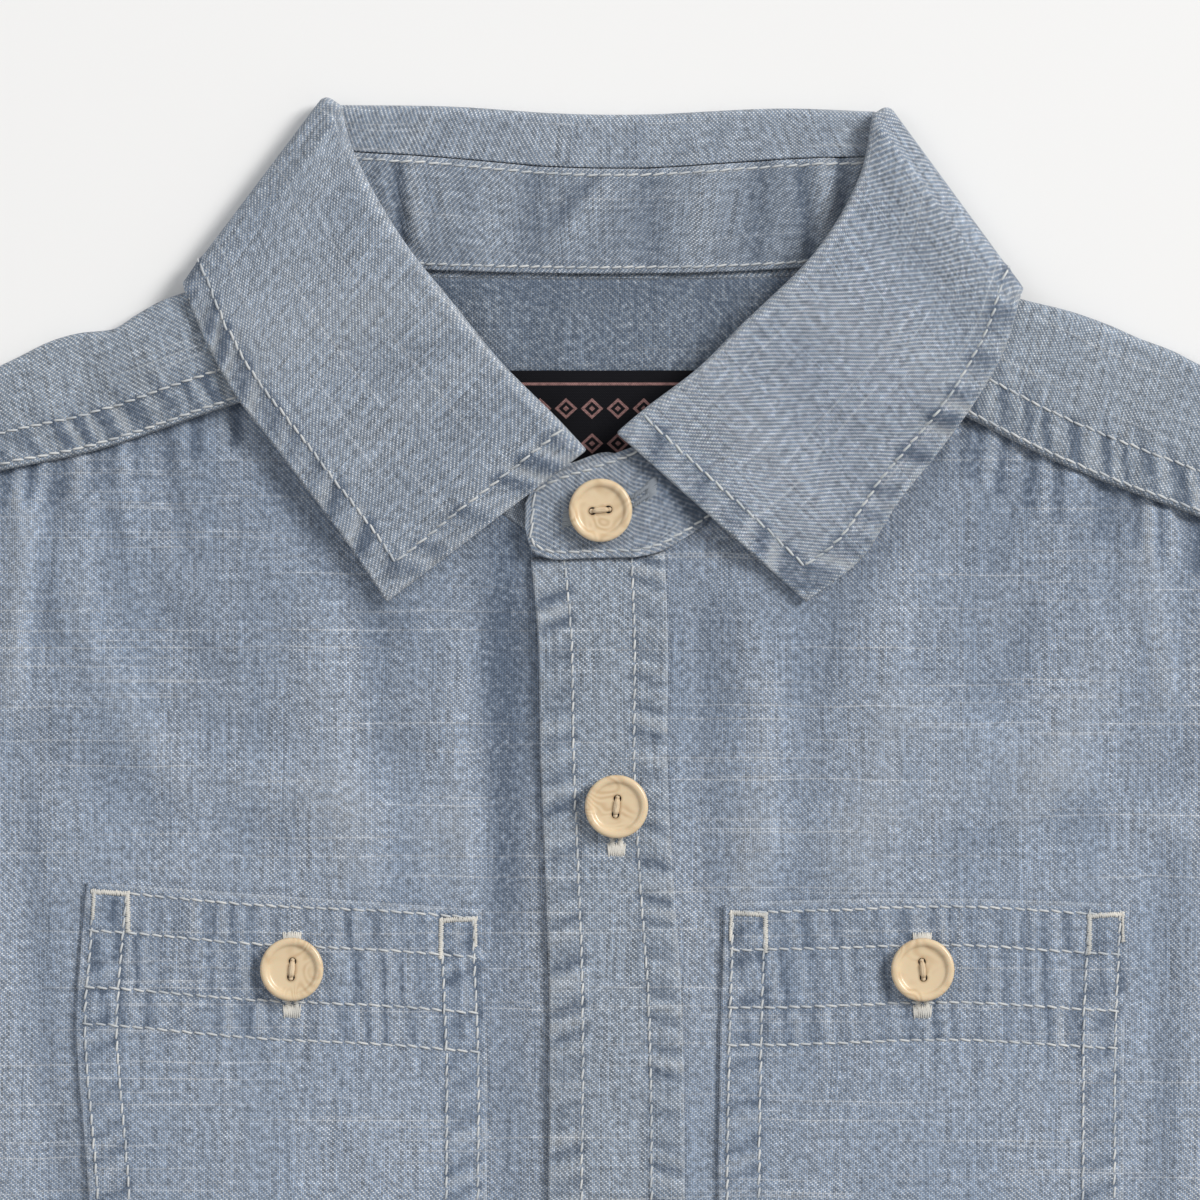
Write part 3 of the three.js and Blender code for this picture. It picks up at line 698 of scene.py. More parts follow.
class Face:
    """One face of a wall, where sewing is placed by places on the flat cloth."""

    def __init__(self, wall: Wall, cloth: Array, index: int = 0, inside: bool = False) -> None:
        """Takes the points of one grid's face.

        Args:
            wall: the wall.
            cloth: the grid's places on the flat cloth.
            index: which of the wall's grids it is.
            inside: whether it is the inner face.
        """
        near, far = wall.outer[index], wall.inner[index]
        if inside:
            near, far = far, near
        self.points, self.cloth = near, cloth
        out = near - far
        size = np.linalg.norm(out, axis=2, keepdims=True)
        self.normals = np.where(size > 0.05, out / np.maximum(size, 1e-6), [0.0, 0.0, 1.0])
        self.slope = [np.gradient(cloth, axis=k) for k in (0, 1)]
        flat = cloth.reshape(-1, 2)
        self.tree = kdtree.KDTree(len(flat))
        for i, (u, v) in enumerate(flat):
            self.tree.insert((u, v, 0.0), i)
        self.tree.balance()

    def at(self, places: Array) -> Tuple[Array, Array]:
        """Points on the face, and directions out of it, at places on the flat cloth.

        Args:
            places: places on the flat cloth.

        Returns:
            The points, and the directions.
        """
        shape = places.shape[:-1]
        wanted = places.reshape(-1, 2)
        nearest = np.array([self.tree.find((u, v, 0.0))[1] for u, v in wanted])
        rows, columns = self.points.shape[:2]
        i, j = np.divmod(nearest, columns)
        a, b = self.slope[0][i, j], self.slope[1][i, j]
        d = wanted - self.cloth[i, j]
        area = a[:, 0] * b[:, 1] - a[:, 1] * b[:, 0]
        area = np.where(np.abs(area) < 1e-9, 1e-9, area)
        down = np.clip((d[:, 0] * b[:, 1] - d[:, 1] * b[:, 0]) / area, -1.5, 1.5)
        over = np.clip((a[:, 0] * d[:, 1] - a[:, 1] * d[:, 0]) / area, -1.5, 1.5)
        r = np.clip(i + down, 0, rows - 1.001)
        c = np.clip(j + over, 0, columns - 1.001)
        i, j = r.astype(int), c.astype(int)
        s, t = (r - i)[:, None], (c - j)[:, None]

        def blend(grid: Array) -> Array:
            """A grid's values between its points."""
            upper = grid[i, j] * (1 - t) + grid[i, j + 1] * t
            lower = grid[i + 1, j] * (1 - t) + grid[i + 1, j + 1] * t
            return upper * (1 - s) + lower * s

        return blend(self.points).reshape(*shape, 3), blend(self.normals).reshape(*shape, 3)


class Sewing:
    """Threads laid on faces of cloth, gathered into one mesh for each piece."""

    STATIONS = np.array([-1.0, -0.82, -0.4, 0.0, 0.4, 0.82, 1.0])
    GIRTH = np.array([0.35, 0.85, 1.0, 1.0, 1.0, 0.85, 0.35])
    ARCH = np.array([-1.0, 0.15, 0.75, 0.9, 0.75, 0.15, -1.0])
    SIDES = 6
    STITCH = 0.9  # a stitch's share of the pitch
    BAR_PITCH = 0.21
    SLIT_SIDE = 0.85  # from a buttonhole's slit to the middle of its rows
    END_BAR = 1.75

    def __init__(self, name: str) -> None:
        """Starts with no thread.

        Args:
            name: the name of the piece.
        """
        self.name = name
        self.points: List[Array] = []
        self.faces: List[Array] = []
        self.count = 0

    def threads(self, face: Face, starts: Array, ends: Array, radius: float, arch: float) -> None:
        """Lays threads from places to places on the flat cloth.

        Args:
            face: the face they lie on.
            starts: where each goes into the cloth.
            ends: where each comes out again.
            radius: half the thread's thickness.
            arch: how far a thread's middle stands over the cloth.
        """
        share = (self.STATIONS[None, :, None] + 1) / 2
        places = starts[:, None, :] * (1 - share) + ends[:, None, :] * share
        points, normals = face.at(places)
        points = points + normals * (arch * self.ARCH)[None, :, None]
        run = np.gradient(points, axis=1)
        run /= np.maximum(np.linalg.norm(run, axis=2, keepdims=True), 1e-9)
        sideways = np.cross(normals, run)
        sideways /= np.maximum(np.linalg.norm(sideways, axis=2, keepdims=True), 1e-9)
        upwards = np.cross(run, sideways)
        turn = np.arange(self.SIDES) * 2 * math.pi / self.SIDES
        girth = (radius * self.GIRTH)[None, :, None, None]
        ring = np.cos(turn)[None, None, :, None] * sideways[:, :, None] * 1.15
        ring = ring + np.sin(turn)[None, None, :, None] * upwards[:, :, None] * 0.85
        rings = points[:, :, None] + girth * ring
        count, stations = rings.shape[:2]
        index = np.arange(count * stations * self.SIDES).reshape(count, stations, self.SIDES)
        around = np.roll(index, -1, axis=2)
        quads = np.stack([index[:, :-1], around[:, :-1], around[:, 1:], index[:, 1:]], axis=-1)
        caps = [index[:, 0, ::-1][:, [0, 1, 2, 3]], index[:, 0, ::-1][:, [0, 3, 4, 5]]]
        caps += [index[:, -1][:, [0, 1, 2, 3]], index[:, -1][:, [0, 3, 4, 5]]]
        faces = np.concatenate([quads.reshape(-1, 4), *[cap.reshape(-1, 4) for cap in caps]])
        self.points.append(rings.reshape(-1, 3))
        self.faces.append(faces + self.count)
        self.count += rings.size // 3

    def row(
        self, face: Face, line: Sequence[Point], pitch: float = 2.45, radius: float = 0.205
    ) -> None:
        """A row of topstitching along a line on the flat cloth.

        Args:
            face: the face it is on.
            line: points of its line.
            pitch: from one stitch to the next.
            radius: half the thread's thickness.
        """
        line = np.asarray(line, float)
        total = length_of(line)
        number = max(int(total / pitch), 1)
        middle = (np.arange(number) + 0.5) / number
        half = self.STITCH / 2 / number
        rng = np.random.default_rng(number * 7 + int(abs(line[0, 0]) * 10))
        middle = middle + rng.uniform(-0.02, 0.02, number) / number
        length = distances(line)
        ends = []
        for place in (middle - half, middle + half):
            at = np.clip(place, 0, 1) * total
            ends.append(np.column_stack([np.interp(at, length, line[:, k]) for k in (0, 1)]))
        wobble = rng.uniform(-0.07, 0.07, (2, number, 2))
        run = ends[1] - ends[0]
        lean = np.column_stack([-run[:, 1], run[:, 0]]) * 0.07
        self.threads(face, ends[0] + wobble[0] + lean, ends[1] + wobble[1] - lean, radius, 0.14)

    def bar(self, face: Face, start: Point, end: Point, width: float, seed: int = 3) -> None:
        """A bartack: threads close together across a short line.

        Args:
            face: the face it is on.
            start: one end of its line.
            end: the other end.
            width: the length of its threads.
            seed: which uneven threads.
        """
        start, end = np.asarray(start, float), np.asarray(end, float)
        run = end - start
        length = float(np.hypot(*run))
        across = np.array([-run[1], run[0]]) / length * width / 2
        number = max(int(length / self.BAR_PITCH), 3)
        rng = np.random.default_rng(seed + number)
        share = (np.arange(number) + 0.5)[:, None] / number
        middle = start + run * share + rng.normal(0, 0.05, (number, 2))
        lean = rng.uniform(0.88, 1.08, (number, 1))
        slant = run / length * 0.12 * np.where(np.arange(number) % 2, 1, -1)[:, None]
        reach = across * lean + slant
        self.threads(face, middle - reach, middle + reach, 0.15, 0.26)

    def buttonhole(self, face: Face, start: Point, end: Point) -> None:
        """A buttonhole: a close row down each side of its slit and a bar at each end.

        Args:
            face: the face it is on.
            start: one end of its slit.
            end: the other end.
        """
        start, end = np.asarray(start, float), np.asarray(end, float)
        run = (end - start) / np.hypot(*(end - start))
        side = np.array([-run[1], run[0]])
        for sign in (-1, 1):
            away = side * sign * self.SLIT_SIDE
            self.bar(face, start + away, end + away, 1.1, 5 + sign)
        reach = side * self.END_BAR
        for place in (start - run * 0.5, end + run * 0.5):
            self.bar(face, place - reach, place + reach, 2.9, 9)

    def strand(self, path: Array, radius: float) -> None:
        """Adds one thread along a path in the air.

        Args:
            path: the points it goes through, in millimetres.
            radius: half its thickness.
        """
        run = np.gradient(path, axis=0)
        run /= np.linalg.norm(run, axis=1, keepdims=True)
        sideways = np.cross([0, 0, 1.0], run)
        sideways /= np.maximum(np.linalg.norm(sideways, axis=1, keepdims=True), 1e-6)
        upwards = np.cross(run, sideways)
        turn = np.arange(self.SIDES) * 2 * math.pi / self.SIDES
        ring = np.cos(turn)[None, :, None] * sideways[:, None]
        ring = ring + np.sin(turn)[None, :, None] * upwards[:, None]
        rings = path[:, None] + radius * ring
        index = np.arange(len(path) * self.SIDES).reshape(len(path), self.SIDES)
        around = np.roll(index, -1, axis=1)
        quads = np.stack([index[:-1], around[:-1], around[1:], index[1:]], axis=-1).reshape(-1, 4)
        caps = [index[0, [3, 2, 1, 0]], index[0, [5, 4, 3, 0]]]
        caps += [index[-1, [0, 1, 2, 3]], index[-1, [0, 3, 4, 5]]]
        self.points.append(rings.reshape(-1, 3))
        self.faces.append(np.concatenate([quads, np.array(caps)]) + self.count)
        self.count += rings.size // 3

    def finish(self, thread: "Thread") -> bpy.types.Object:
        """Makes the one mesh of all the threads."""
        points, faces = np.concatenate(self.points), np.concatenate(self.faces)
        piece = new_mesh(self.name, points, faces, thread.material())
        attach(piece, "root")
        return piece


# --- Finishes -------------------------------------------------------------------------

Colour = Tuple[float, float, float]
NodeInput = object
Socket = bpy.types.NodeSocket


class Nodes:
    """A material's node tree, with short ways to add the nodes that the finishes share."""

    def __init__(self, name: str) -> None:
        """Starts a material with its shader and its output.

        Args:
            name: the material's name.
        """
        self.material = bpy.data.materials.new(name)
        self.material.use_nodes = True
        self.tree = self.material.node_tree
        self.tree.nodes.clear()
        self.shader = self.tree.nodes.new("ShaderNodeBsdfPrincipled")
        output = self.tree.nodes.new("ShaderNodeOutputMaterial")
        self.tree.links.new(self.shader.outputs[0], output.inputs[0])

    def put(self, socket: Socket, value: NodeInput) -> None:
        """Sets a socket to a number or a colour, or links it.

        Args:
            socket: the socket.
            value: a number, a colour or another node's output.
        """
        if isinstance(value, Socket):
            self.tree.links.new(value, socket)
        elif isinstance(value, tuple) and len(value) == 3 and socket.type == "RGBA":
            socket.default_value = (*value, 1.0)
        else:
            socket.default_value = value

    def math(self, operation: str, *values: NodeInput, clamp: bool = False) -> Socket:
        """A Math node on up to three values.

        Args:
            operation: what the node does.
            *values: the values it works on.
            clamp: whether the result is held from 0 to 1.

        Returns:
            Its result.
        """
        node = self.tree.nodes.new("ShaderNodeMath")
        node.operation, node.use_clamp = operation, clamp
        for socket, value in zip(node.inputs, values):
            self.put(socket, value)
        return node.outputs[0]

    def add(self, first: NodeInput, second: NodeInput) -> Socket:
        """The sum of two values."""
        return self.math("ADD", first, second)

    def times(self, first: NodeInput, second: NodeInput, clamp: bool = False) -> Socket:
        """The product of two values."""
        return self.math("MULTIPLY", first, second, clamp=clamp)

    def arch(self, turns: NodeInput) -> Socket:
        """A round back over each thread: 0 at whole numbers of half turns and 1 between them."""
        return self.math("ABSOLUTE", self.math("SINE", turns))

    def mix(
        self, share: NodeInput, first: NodeInput, second: NodeInput, blend: str = "MIX"
    ) -> Socket:
        """A colour between two, or blended in another way.

        Args:
            share: the second colour's share.
            first: one colour.
            second: the other colour.
            blend: the way they are blended.

        Returns:
            The colour.
        """
        node = self.tree.nodes.new("ShaderNodeMix")
        node.data_type, node.blend_type, node.clamp_factor = "RGBA", blend, True
        for index, value in ((0, share), (6, first), (7, second)):
            self.put(node.inputs[index], value)
        return node.outputs[2]

    def shaded(self, colour: NodeInput, shade: NodeInput) -> Socket:
        """A colour made darker or paler by a share."""
        return self.mix(1.0, colour, self.join(shade, shade, shade), "MULTIPLY")

    def fit(
        self, value: NodeInput, low: float, high: float, to_low: float = 0.0, to_high: float = 1.0
    ) -> Socket:
        """A value's range stretched to another, and held within it.

        Args:
            value: the value.
            low: the start of its range.
            high: the end of its range.
            to_low: the start of the new range.
            to_high: the end of the new range.

        Returns:
            The value in its new range.
        """
        node = self.tree.nodes.new("ShaderNodeMapRange")
        for index, number in enumerate((value, low, high, to_low, to_high)):
            self.put(node.inputs[index], number)
        return node.outputs[0]

    def noise(self, place: NodeInput, scale: float = 1.0, detail: float = 2.0) -> Socket:
        """Noise from about 0.3 to 0.7.

        Args:
            place: where it is read.
            scale: how fine it is.
            detail: how many finer layers it has.

        Returns:
            The noise.
        """
        node = self.tree.nodes.new("ShaderNodeTexNoise")
        self.put(node.inputs["Vector"], place)
        node.inputs["Scale"].default_value, node.inputs["Detail"].default_value = scale, detail
        return node.outputs["Fac"]

    def streak(
        self, x: NodeInput, x_scale: float, y: NodeInput, y_scale: float, z: float, detail: float
    ) -> Socket:
        """Noise drawn out one way, from a scale for each of its two directions.

        Args:
            x: the first distance.
            x_scale: how fine the noise is along it.
            y: the second distance.
            y_scale: how fine the noise is along that.
            z: which noise.
            detail: how many finer layers it has.

        Returns:
            The noise.
        """
        place = self.join(self.times(x, x_scale), self.times(y, y_scale), z)
        return self.noise(place, 1.0, detail)

    def join(self, x: NodeInput, y: NodeInput, z: NodeInput = 0.0) -> Socket:
        """A place from its numbers.

        Args:
            x: the first number.
            y: the second number.
            z: the third number.

        Returns:
            The place.
        """
        node = self.tree.nodes.new("ShaderNodeCombineXYZ")
        for socket, value in zip(node.inputs, (x, y, z)):
            self.put(socket, value)
        return node.outputs[0]

    def cloth_place(self) -> Tuple[Socket, Socket]:
        """Millimetres across and along the flat cloth.

        Returns:
            The two distances.
        """
        chart = self.tree.nodes.new("ShaderNodeUVMap")
        chart.uv_map = "Cloth"
        parts = self.tree.nodes.new("ShaderNodeSeparateXYZ")
        self.tree.links.new(chart.outputs[0], parts.inputs[0])
        return tuple(self.math("MULTIPLY", parts.outputs[k], UV_SPAN) for k in (0, 1))

    def wear_and_shade(self) -> Socket:
        """How worn the cloth is at a place, with its painted shade and highlight."""
        node = self.tree.nodes.new("ShaderNodeAttribute")
        node.attribute_name = "wear_and_shade"
        return node.outputs["Fac"]

    def bump(self, height: NodeInput, depth: float, strength: float = 1.0) -> None:
        """Raises the surface by a height, given from 0 to 1, over a depth in millimetres.

        Args:
            height: the height.
            depth: how far 1 stands over 0, in millimetres.
            strength: the share of it that shows.
        """
        node = self.tree.nodes.new("ShaderNodeBump")
        node.inputs["Strength"].default_value = strength
        node.inputs["Distance"].default_value = depth * MM
        self.put(node.inputs["Height"], height)
        self.put(self.shader.inputs["Normal"], node.outputs[0])

    def set(self, **sockets: NodeInput) -> None:
        """Sets the shader's sockets, named with _ for each space."""
        for name, value in sockets.items():
            self.put(self.shader.inputs[name.replace("_", " ")], value)


def scaled(colour: Colour, share: float, more: float = 0.0) -> Colour:
    """A colour with its light changed by a share, and no brighter than white."""
    return tuple(min(part * share + more, 1) for part in colour)


class Finish:
    """A finish, whose material is made once and then shared."""

    name: str

    def material(self) -> bpy.types.Material:
        """The finish's material."""
        return bpy.data.materials.get(self.name) or self.make(Nodes(self.name))

    def make(self, n: Nodes) -> bpy.types.Material:
        """Sets up the material's nodes."""
        raise NotImplementedError


@dataclass(frozen=True)
class Chambray(Finish):
    """Washed chambray: a fine slanting weave of dyed warp and pale weft, uneven and worn."""

    name: str
    warp: Colour
    weft: Colour
    # The pale colour is worn cloth and also painted highlight on fold ridges and pucker tops; the
    # dark one is painted shade.
    pale: Colour = (0.60, 0.62, 0.635)
    dark: Colour = (0.055, 0.085, 0.14)
    wash: Colour = (0.235, 0.315, 0.44)
    wash_share: float = 0.5
    slubs: float = 1.0
    thread: float = 0.34

    def make(self, n: Nodes) -> bpy.types.Material:
        """Sets up the cloth: its weave with painted shade between its threads, its streaks, its
        wash, and its wear with its painted shade and highlight.

        Args:
            n: the new material's nodes.

        Returns:
            The material.
        """
        across, along = n.cloth_place()
        place = n.join(across, along)
        drift = n.times(n.math("SUBTRACT", n.noise(place, 0.05, 2.0), 0.5), 1.6)
        turned = n.noise(n.join(along, across, 7.0), 0.05, 2.0)
        sway = n.times(n.math("SUBTRACT", turned, 0.5), 1.6)
        u = n.math("DIVIDE", n.add(across, drift), self.thread)
        v = n.math("DIVIDE", n.add(along, sway), self.thread)
        warp_number, weft_number = n.math("FLOOR", u), n.math("FLOOR", v)
        crossing = n.math("DIVIDE", n.add(n.add(warp_number, weft_number), 0.5), 3.0)
        on_top = n.math("GREATER_THAN", n.math("FRACT", crossing), 0.33)
        over_u, over_v = n.arch(n.times(u, math.pi)), n.arch(n.times(v, math.pi))
        below = n.times(n.math("SUBTRACT", 1.0, on_top), over_v)
        round_thread = n.math("POWER", n.add(n.times(on_top, over_u), below), 0.45)
        warp_streak = n.streak(warp_number, 0.83, along, 0.05, 0.0, 1.0)
        weft_streak = n.streak(across, 0.06, weft_number, 0.79, 3.0, 1.0)
        warp_slub = n.fit(n.streak(warp_number, 0.87, along, 0.035, 5.0, 0.0), 0.66, 0.78)
        weft_slub = n.fit(n.streak(across, 0.016, weft_number, 0.91, 9.0, 0.0), 0.685, 0.77)
        warp_share, weft_share = n.fit(warp_streak, 0.3, 0.7), n.fit(weft_streak, 0.3, 0.7)
        warp = n.mix(warp_share, scaled(self.warp, 0.62), scaled(self.warp, 1.38, 0.01))
        weft = n.mix(weft_share, scaled(self.weft, 0.74), scaled(self.weft, 1.22))
        woven = n.mix(n.fit(on_top, 0.0, 1.0, 0.02, 0.96), weft, warp)
        woven = n.mix(n.times(warp_slub, 0.6 * self.slubs), woven, scaled(self.warp, 0.62))
        woven = n.mix(n.times(weft_slub, 0.62 * self.slubs), woven, scaled(self.weft, 1.25))
        faded = n.streak(across, 0.045, along, 0.014, 2.0, 3.0)
        streaky = n.streak(across, 0.22, along, 0.02, 4.0, 3.0)
        washed = n.fit(n.add(n.times(faded, 0.6), n.times(streaky, 0.4)), 0.32, 0.72)
        woven = n.mix(n.times(washed, self.wash_share), woven, n.mix(0.75, woven, self.wash))
        woven = n.shaded(woven, n.fit(n.noise(place, 0.75, 4.0), 0.3, 0.7, 0.66, 1.32))
        # Above 0 this mixes in pale wear and painted highlight, below 0 painted shade.
        wear_and_shade_share = n.times(n.wear_and_shade(), n.fit(n.noise(place, 0.9, 3.0), 0.3, 0.62, 0.35, 1.25))
        woven = n.mix(n.times(wear_and_shade_share, 0.55, clamp=True), woven, n.mix(0.6, woven, self.pale))
        woven = n.mix(n.times(wear_and_shade_share, -0.8, clamp=True), woven, n.mix(0.7, woven, self.dark))
        # Painted shade between the threads and painted highlight on their round backs, from the
        # same height as the bump.
        colour = n.shaded(woven, n.fit(round_thread, 0.0, 0.95, 0.22, 1.06))
        n.bump(n.add(round_thread, n.times(n.add(warp_slub, weft_slub), 0.5)), 0.16, 0.8)
        n.set(Base_Color=colour, Roughness=0.94, Specular_IOR_Level=0.15)
        n.set(Sheen_Weight=0.12, Sheen_Roughness=0.5)
        return n.material


BODY_CLOTH = Chambray(
    "Body chambray", (0.222, 0.286, 0.392), (0.645, 0.66, 0.68), wash_share=0.78, slubs=0.7
)
COLLAR_CLOTH = Chambray(
    "Collar chambray", (0.222, 0.280, 0.368), (0.605, 0.625, 0.65), wash_share=0.25, slubs=0.5
)
STAND_CLOTH = Chambray(
    "Stand chambray", (0.218, 0.275, 0.362), (0.60, 0.62, 0.645), wash_share=0.25, slubs=0.5,
    thread=0.3,
)
YOKE_CLOTH = Chambray(
    "Yoke chambray", (0.218, 0.275, 0.355), (0.60, 0.615, 0.63), wash_share=0.4, slubs=0.45
)
BAND_CLOTH = Chambray(
    "Placket chambray", (0.210, 0.268, 0.354), (0.59, 0.61, 0.635), wash_share=0.3, slubs=0.65
)


@dataclass(frozen=True)
class WovenLabel(Finish):
    """A dark satin label with a woven line and rows of small diamonds."""

    name: str = "Woven label"
    ground: Colour = (0.007, 0.007, 0.010)
    figure: Colour = (0.36, 0.20, 0.19)
    line_at: float = -16.7
    rows: Tuple[float, float] = (-21.6, -28.6)
    pitch: float = 5.2

    def make(self, n: Nodes) -> bpy.types.Material:
        """Sets up the label's satin and its woven figures.

        Args:
            n: the new material's nodes.

        Returns:
            The material.
        """
        across, along = n.cloth_place()
        from_line = n.math("ABSOLUTE", n.math("SUBTRACT", along, self.line_at))
        figure = n.math("LESS_THAN", from_line, 0.28)
        repeat = n.math("FRACT", n.math("DIVIDE", across, self.pitch))
        x = n.math("ABSOLUTE", n.math("SUBTRACT", repeat, 0.5))
        for row in self.rows:
            drop = n.math("DIVIDE", n.math("SUBTRACT", along, row), self.pitch * 0.92)
            away = n.add(x, n.math("ABSOLUTE", drop))
            from_ring = n.math("ABSOLUTE", n.math("SUBTRACT", away, 0.36))
            ring, dot = n.math("LESS_THAN", from_ring, 0.075), n.math("LESS_THAN", away, 0.12)
            figure = n.math("MAXIMUM", figure, n.math("MAXIMUM", ring, dot))
        fine = n.arch(n.times(along, math.pi / 0.3))
        twill = n.arch(n.times(n.add(across, along), math.pi / 0.45))
        weave = n.times(fine, twill)
        uneven = n.fit(n.noise(n.join(across, along), 1.4, 3.0), 0.3, 0.7, 0.55, 1.15)
        colour = n.mix(n.times(figure, uneven), self.ground, self.figure)
        # Painted shade between the satin's threads and painted highlight on them, from the weave's
        # height.
        colour = n.shaded(colour, n.fit(weave, 0.0, 1.0, 0.6, 1.25))
        n.bump(n.add(weave, figure), 0.10, 0.7)
        n.set(Base_Color=colour, Roughness=0.7, Specular_IOR_Level=0.12)
        return n.material


@dataclass(frozen=True)
class Thread(Finish):
    """Sewing thread, twisted and slightly soiled by the wash."""

    name: str
    colour: Colour
    stained: Colour

    def make(self, n: Nodes) -> bpy.types.Material:
        """Sets up the thread.

        Args:
            n: the new material's nodes.

        Returns:
            The material.
        """
        spot = n.tree.nodes.new("ShaderNodeTexCoord").outputs["Object"]
        stain = n.fit(n.noise(spot, 160.0, 3.0), 0.35, 0.65)
        n.bump(n.noise(spot, 5200.0, 1.0), 0.06, 0.6)
        colour = n.mix(stain, self.colour, self.stained)
        n.set(Base_Color=colour, Roughness=0.8, Sheen_Weight=0.15)
        return n.material


TOPSTITCH = Thread("Topstitching thread", (0.63, 0.64, 0.64), (0.44, 0.47, 0.50))
# The stand's buttonhole thread: a darker grey-blue copy of the pale thread, as painted shade under
# the button and the leaf.
SHADED_THREAD = Thread("Collar buttonhole thread", (0.30, 0.33, 0.36), (0.20, 0.23, 0.27))
BAR_THREAD = Thread("Bartack thread", (0.72, 0.69, 0.63), (0.50, 0.50, 0.48))
BUTTON_THREAD = Thread("Button thread", (0.74, 0.60, 0.42), (0.60, 0.46, 0.30))


@dataclass(frozen=True)
class Horn(Finish):
    """Polished pale horn with curling darker grain."""

    name: str = "Pale horn"
    pale: Colour = (0.71, 0.56, 0.37)
    grain: Colour = (0.47, 0.30, 0.155)

    def make(self, n: Nodes) -> bpy.types.Material:
        """Sets up the horn. Its chart starts at another place on each button.

        Args:
            n: the new material's nodes.

        Returns:
            The material.
        """
        across, along = n.cloth_place()
        place = n.join(across, along)
        curl = n.tree.nodes.new("ShaderNodeTexNoise")
        n.put(curl.inputs["Vector"], place)
        curl.inputs["Scale"].default_value, curl.inputs["Detail"].default_value = 0.12, 0.0
        curl.inputs["Distortion"].default_value = 1.1
        bands = n.math("SINE", n.times(curl.outputs["Fac"], 58.0))
        cloud = n.fit(n.noise(place, 0.16, 2.0), 0.4, 0.6)
        share = n.times(n.fit(bands, -0.9, 1.0), n.times(cloud, 0.5))
        colour = n.mix(share, self.pale, self.grain)
        # Painted shade in and round the holes.
        hole_shade = n.times(n.wear_and_shade(), 0.8, clamp=True)
        colour = n.mix(hole_shade, colour, scaled(self.grain, 0.75))
        n.set(Base_Color=colour, Roughness=0.26, Specular_IOR_Level=0.45)
        n.set(Subsurface_Weight=0.06, Subsurface_Scale=0.002)
        return n.material


@dataclass(frozen=True)
class Paper(Finish):
    """The plain pale floor."""

    name: str = "Pale floor"
    colour: Colour = (0.86, 0.86, 0.86)

    def make(self, n: Nodes) -> bpy.types.Material:
        """Sets up the floor."""
        n.set(Base_Color=self.colour, Roughness=0.95, Specular_IOR_Level=0.0)
        return n.material


# --- Pieces ---------------------------------------------------------------------------


def declare(wall: Wall, node: str) -> None:
    """Attaches a finished wall to the root, hides the solid it stands for, and logs its faces and
    the size of its cut.

    Args:
        wall: the finished wall.
        node: the solid it stands for.
    """
    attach(wall.piece, "root")
    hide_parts(node)
    area = min(wall.area, 0.999 * wall.flat[0] * wall.flat[1])
    width, length = (round(size / MM) for size in wall.flat)
    count = len(wall.piece.data.polygons)
    LOG.info("%s: %d faces, cut %d by %d mm, %.4f m2", node, count, width, length, wall.area)


def crumple(x: Array, y: Array) -> Array:
    """The small unevenness that washing leaves in cloth laid flat.

    Args:
        x: X of the places, in millimetres.
        y: Y of the places, in millimetres.

    Returns:
        The heights in millimetres.
    """
    waves = (
        (0.21, 0.07, 0.4), (-0.11, 0.19, 1.9), (0.31, -0.16, 3.1),
        (0.05, 0.33, 4.4), (0.43, 0.21, 5.2), (-0.37, 0.29, 0.9),
    )
    total = sum(
        np.sin(a * x + b * y + c + 0.8 * np.sin(0.031 * x - 0.043 * y + c)) for a, b, c in waves
    )
    patch = 0.6 + 0.4 * np.sin(0.045 * x + 1.3) * np.sin(0.038 * y - 0.4)
    return 0.055 * total * patch


def front_level(x: Array, y: Array) -> Array:
    """Middle of a front, with its small unevenness."""
    return LAY.front_height(x, y) + crumple(x, y) * LAY.inside_body(x, y)


def resting(x: Array, y: Array, reach: float = 7.0) -> Array:
    """A smooth level just over the front's highest places close by, for what rests on it.

    Args:
        x: X of the places, in millimetres.
        y: Y of the places, in millimetres.
        reach: how far around each place is looked at.

    Returns:
        The heights in millimetres.
    """
    around = ((0, 0), (reach, 0), (-reach, 0), (0, reach), (0, -reach))
    heights = np.stack([front_level(x + dx, y + dy) for dx, dy in around])
    weights = np.exp(6.0 * (heights - heights.max(axis=0)))
    return (heights * weights).sum(axis=0) / weights.sum(axis=0)


def on_front(x: Array, y: Array) -> Array:
    """Middle of a panel that lies on a front."""
    return resting(x, y) + LAYERS.on_panel


def placket_level(x: Array, y: Array) -> Array:
    """Middle of a turned piece that lies on a front."""
    return resting(x, y) + LAYERS.turned_on_panel


HEM_DEPTH = 7.0
ARMHOLE = ((-150, -25), (-147.5, -60), (-149, -100), (-160, -142), (-187, -176))
SIDE_SEAM = ((-187, -176), (-184, -250), (-183, -360), (-186, -472))
YOKE_EDGES = {
    Side.RIGHT: ((-50.5, -14.5), (-73.6, -20.8), (-101.9, -30.1), (-121, -34.2), (-148.6, -41)),
    Side.LEFT: ((50.5, -14.5), (70.9, -22.8), (91.1, -32.7), (119, -43.4), (148.4, -53)),
}


def mirrored(points: Array, side: Side) -> Array:
    """Points drawn for the wearer's right, on either side."""
    points = np.array(points, float)
    points[..., 0] *= -side.value
    return points


def hem_row(start: float, end: float, count: int) -> Tuple[Point, ...]:
    """A row of sewing over the hem from one X to another."""
    x = np.linspace(start, end, count)
    return as_points(np.column_stack([x, LAY.hem_at(x) + HEM_DEPTH]))


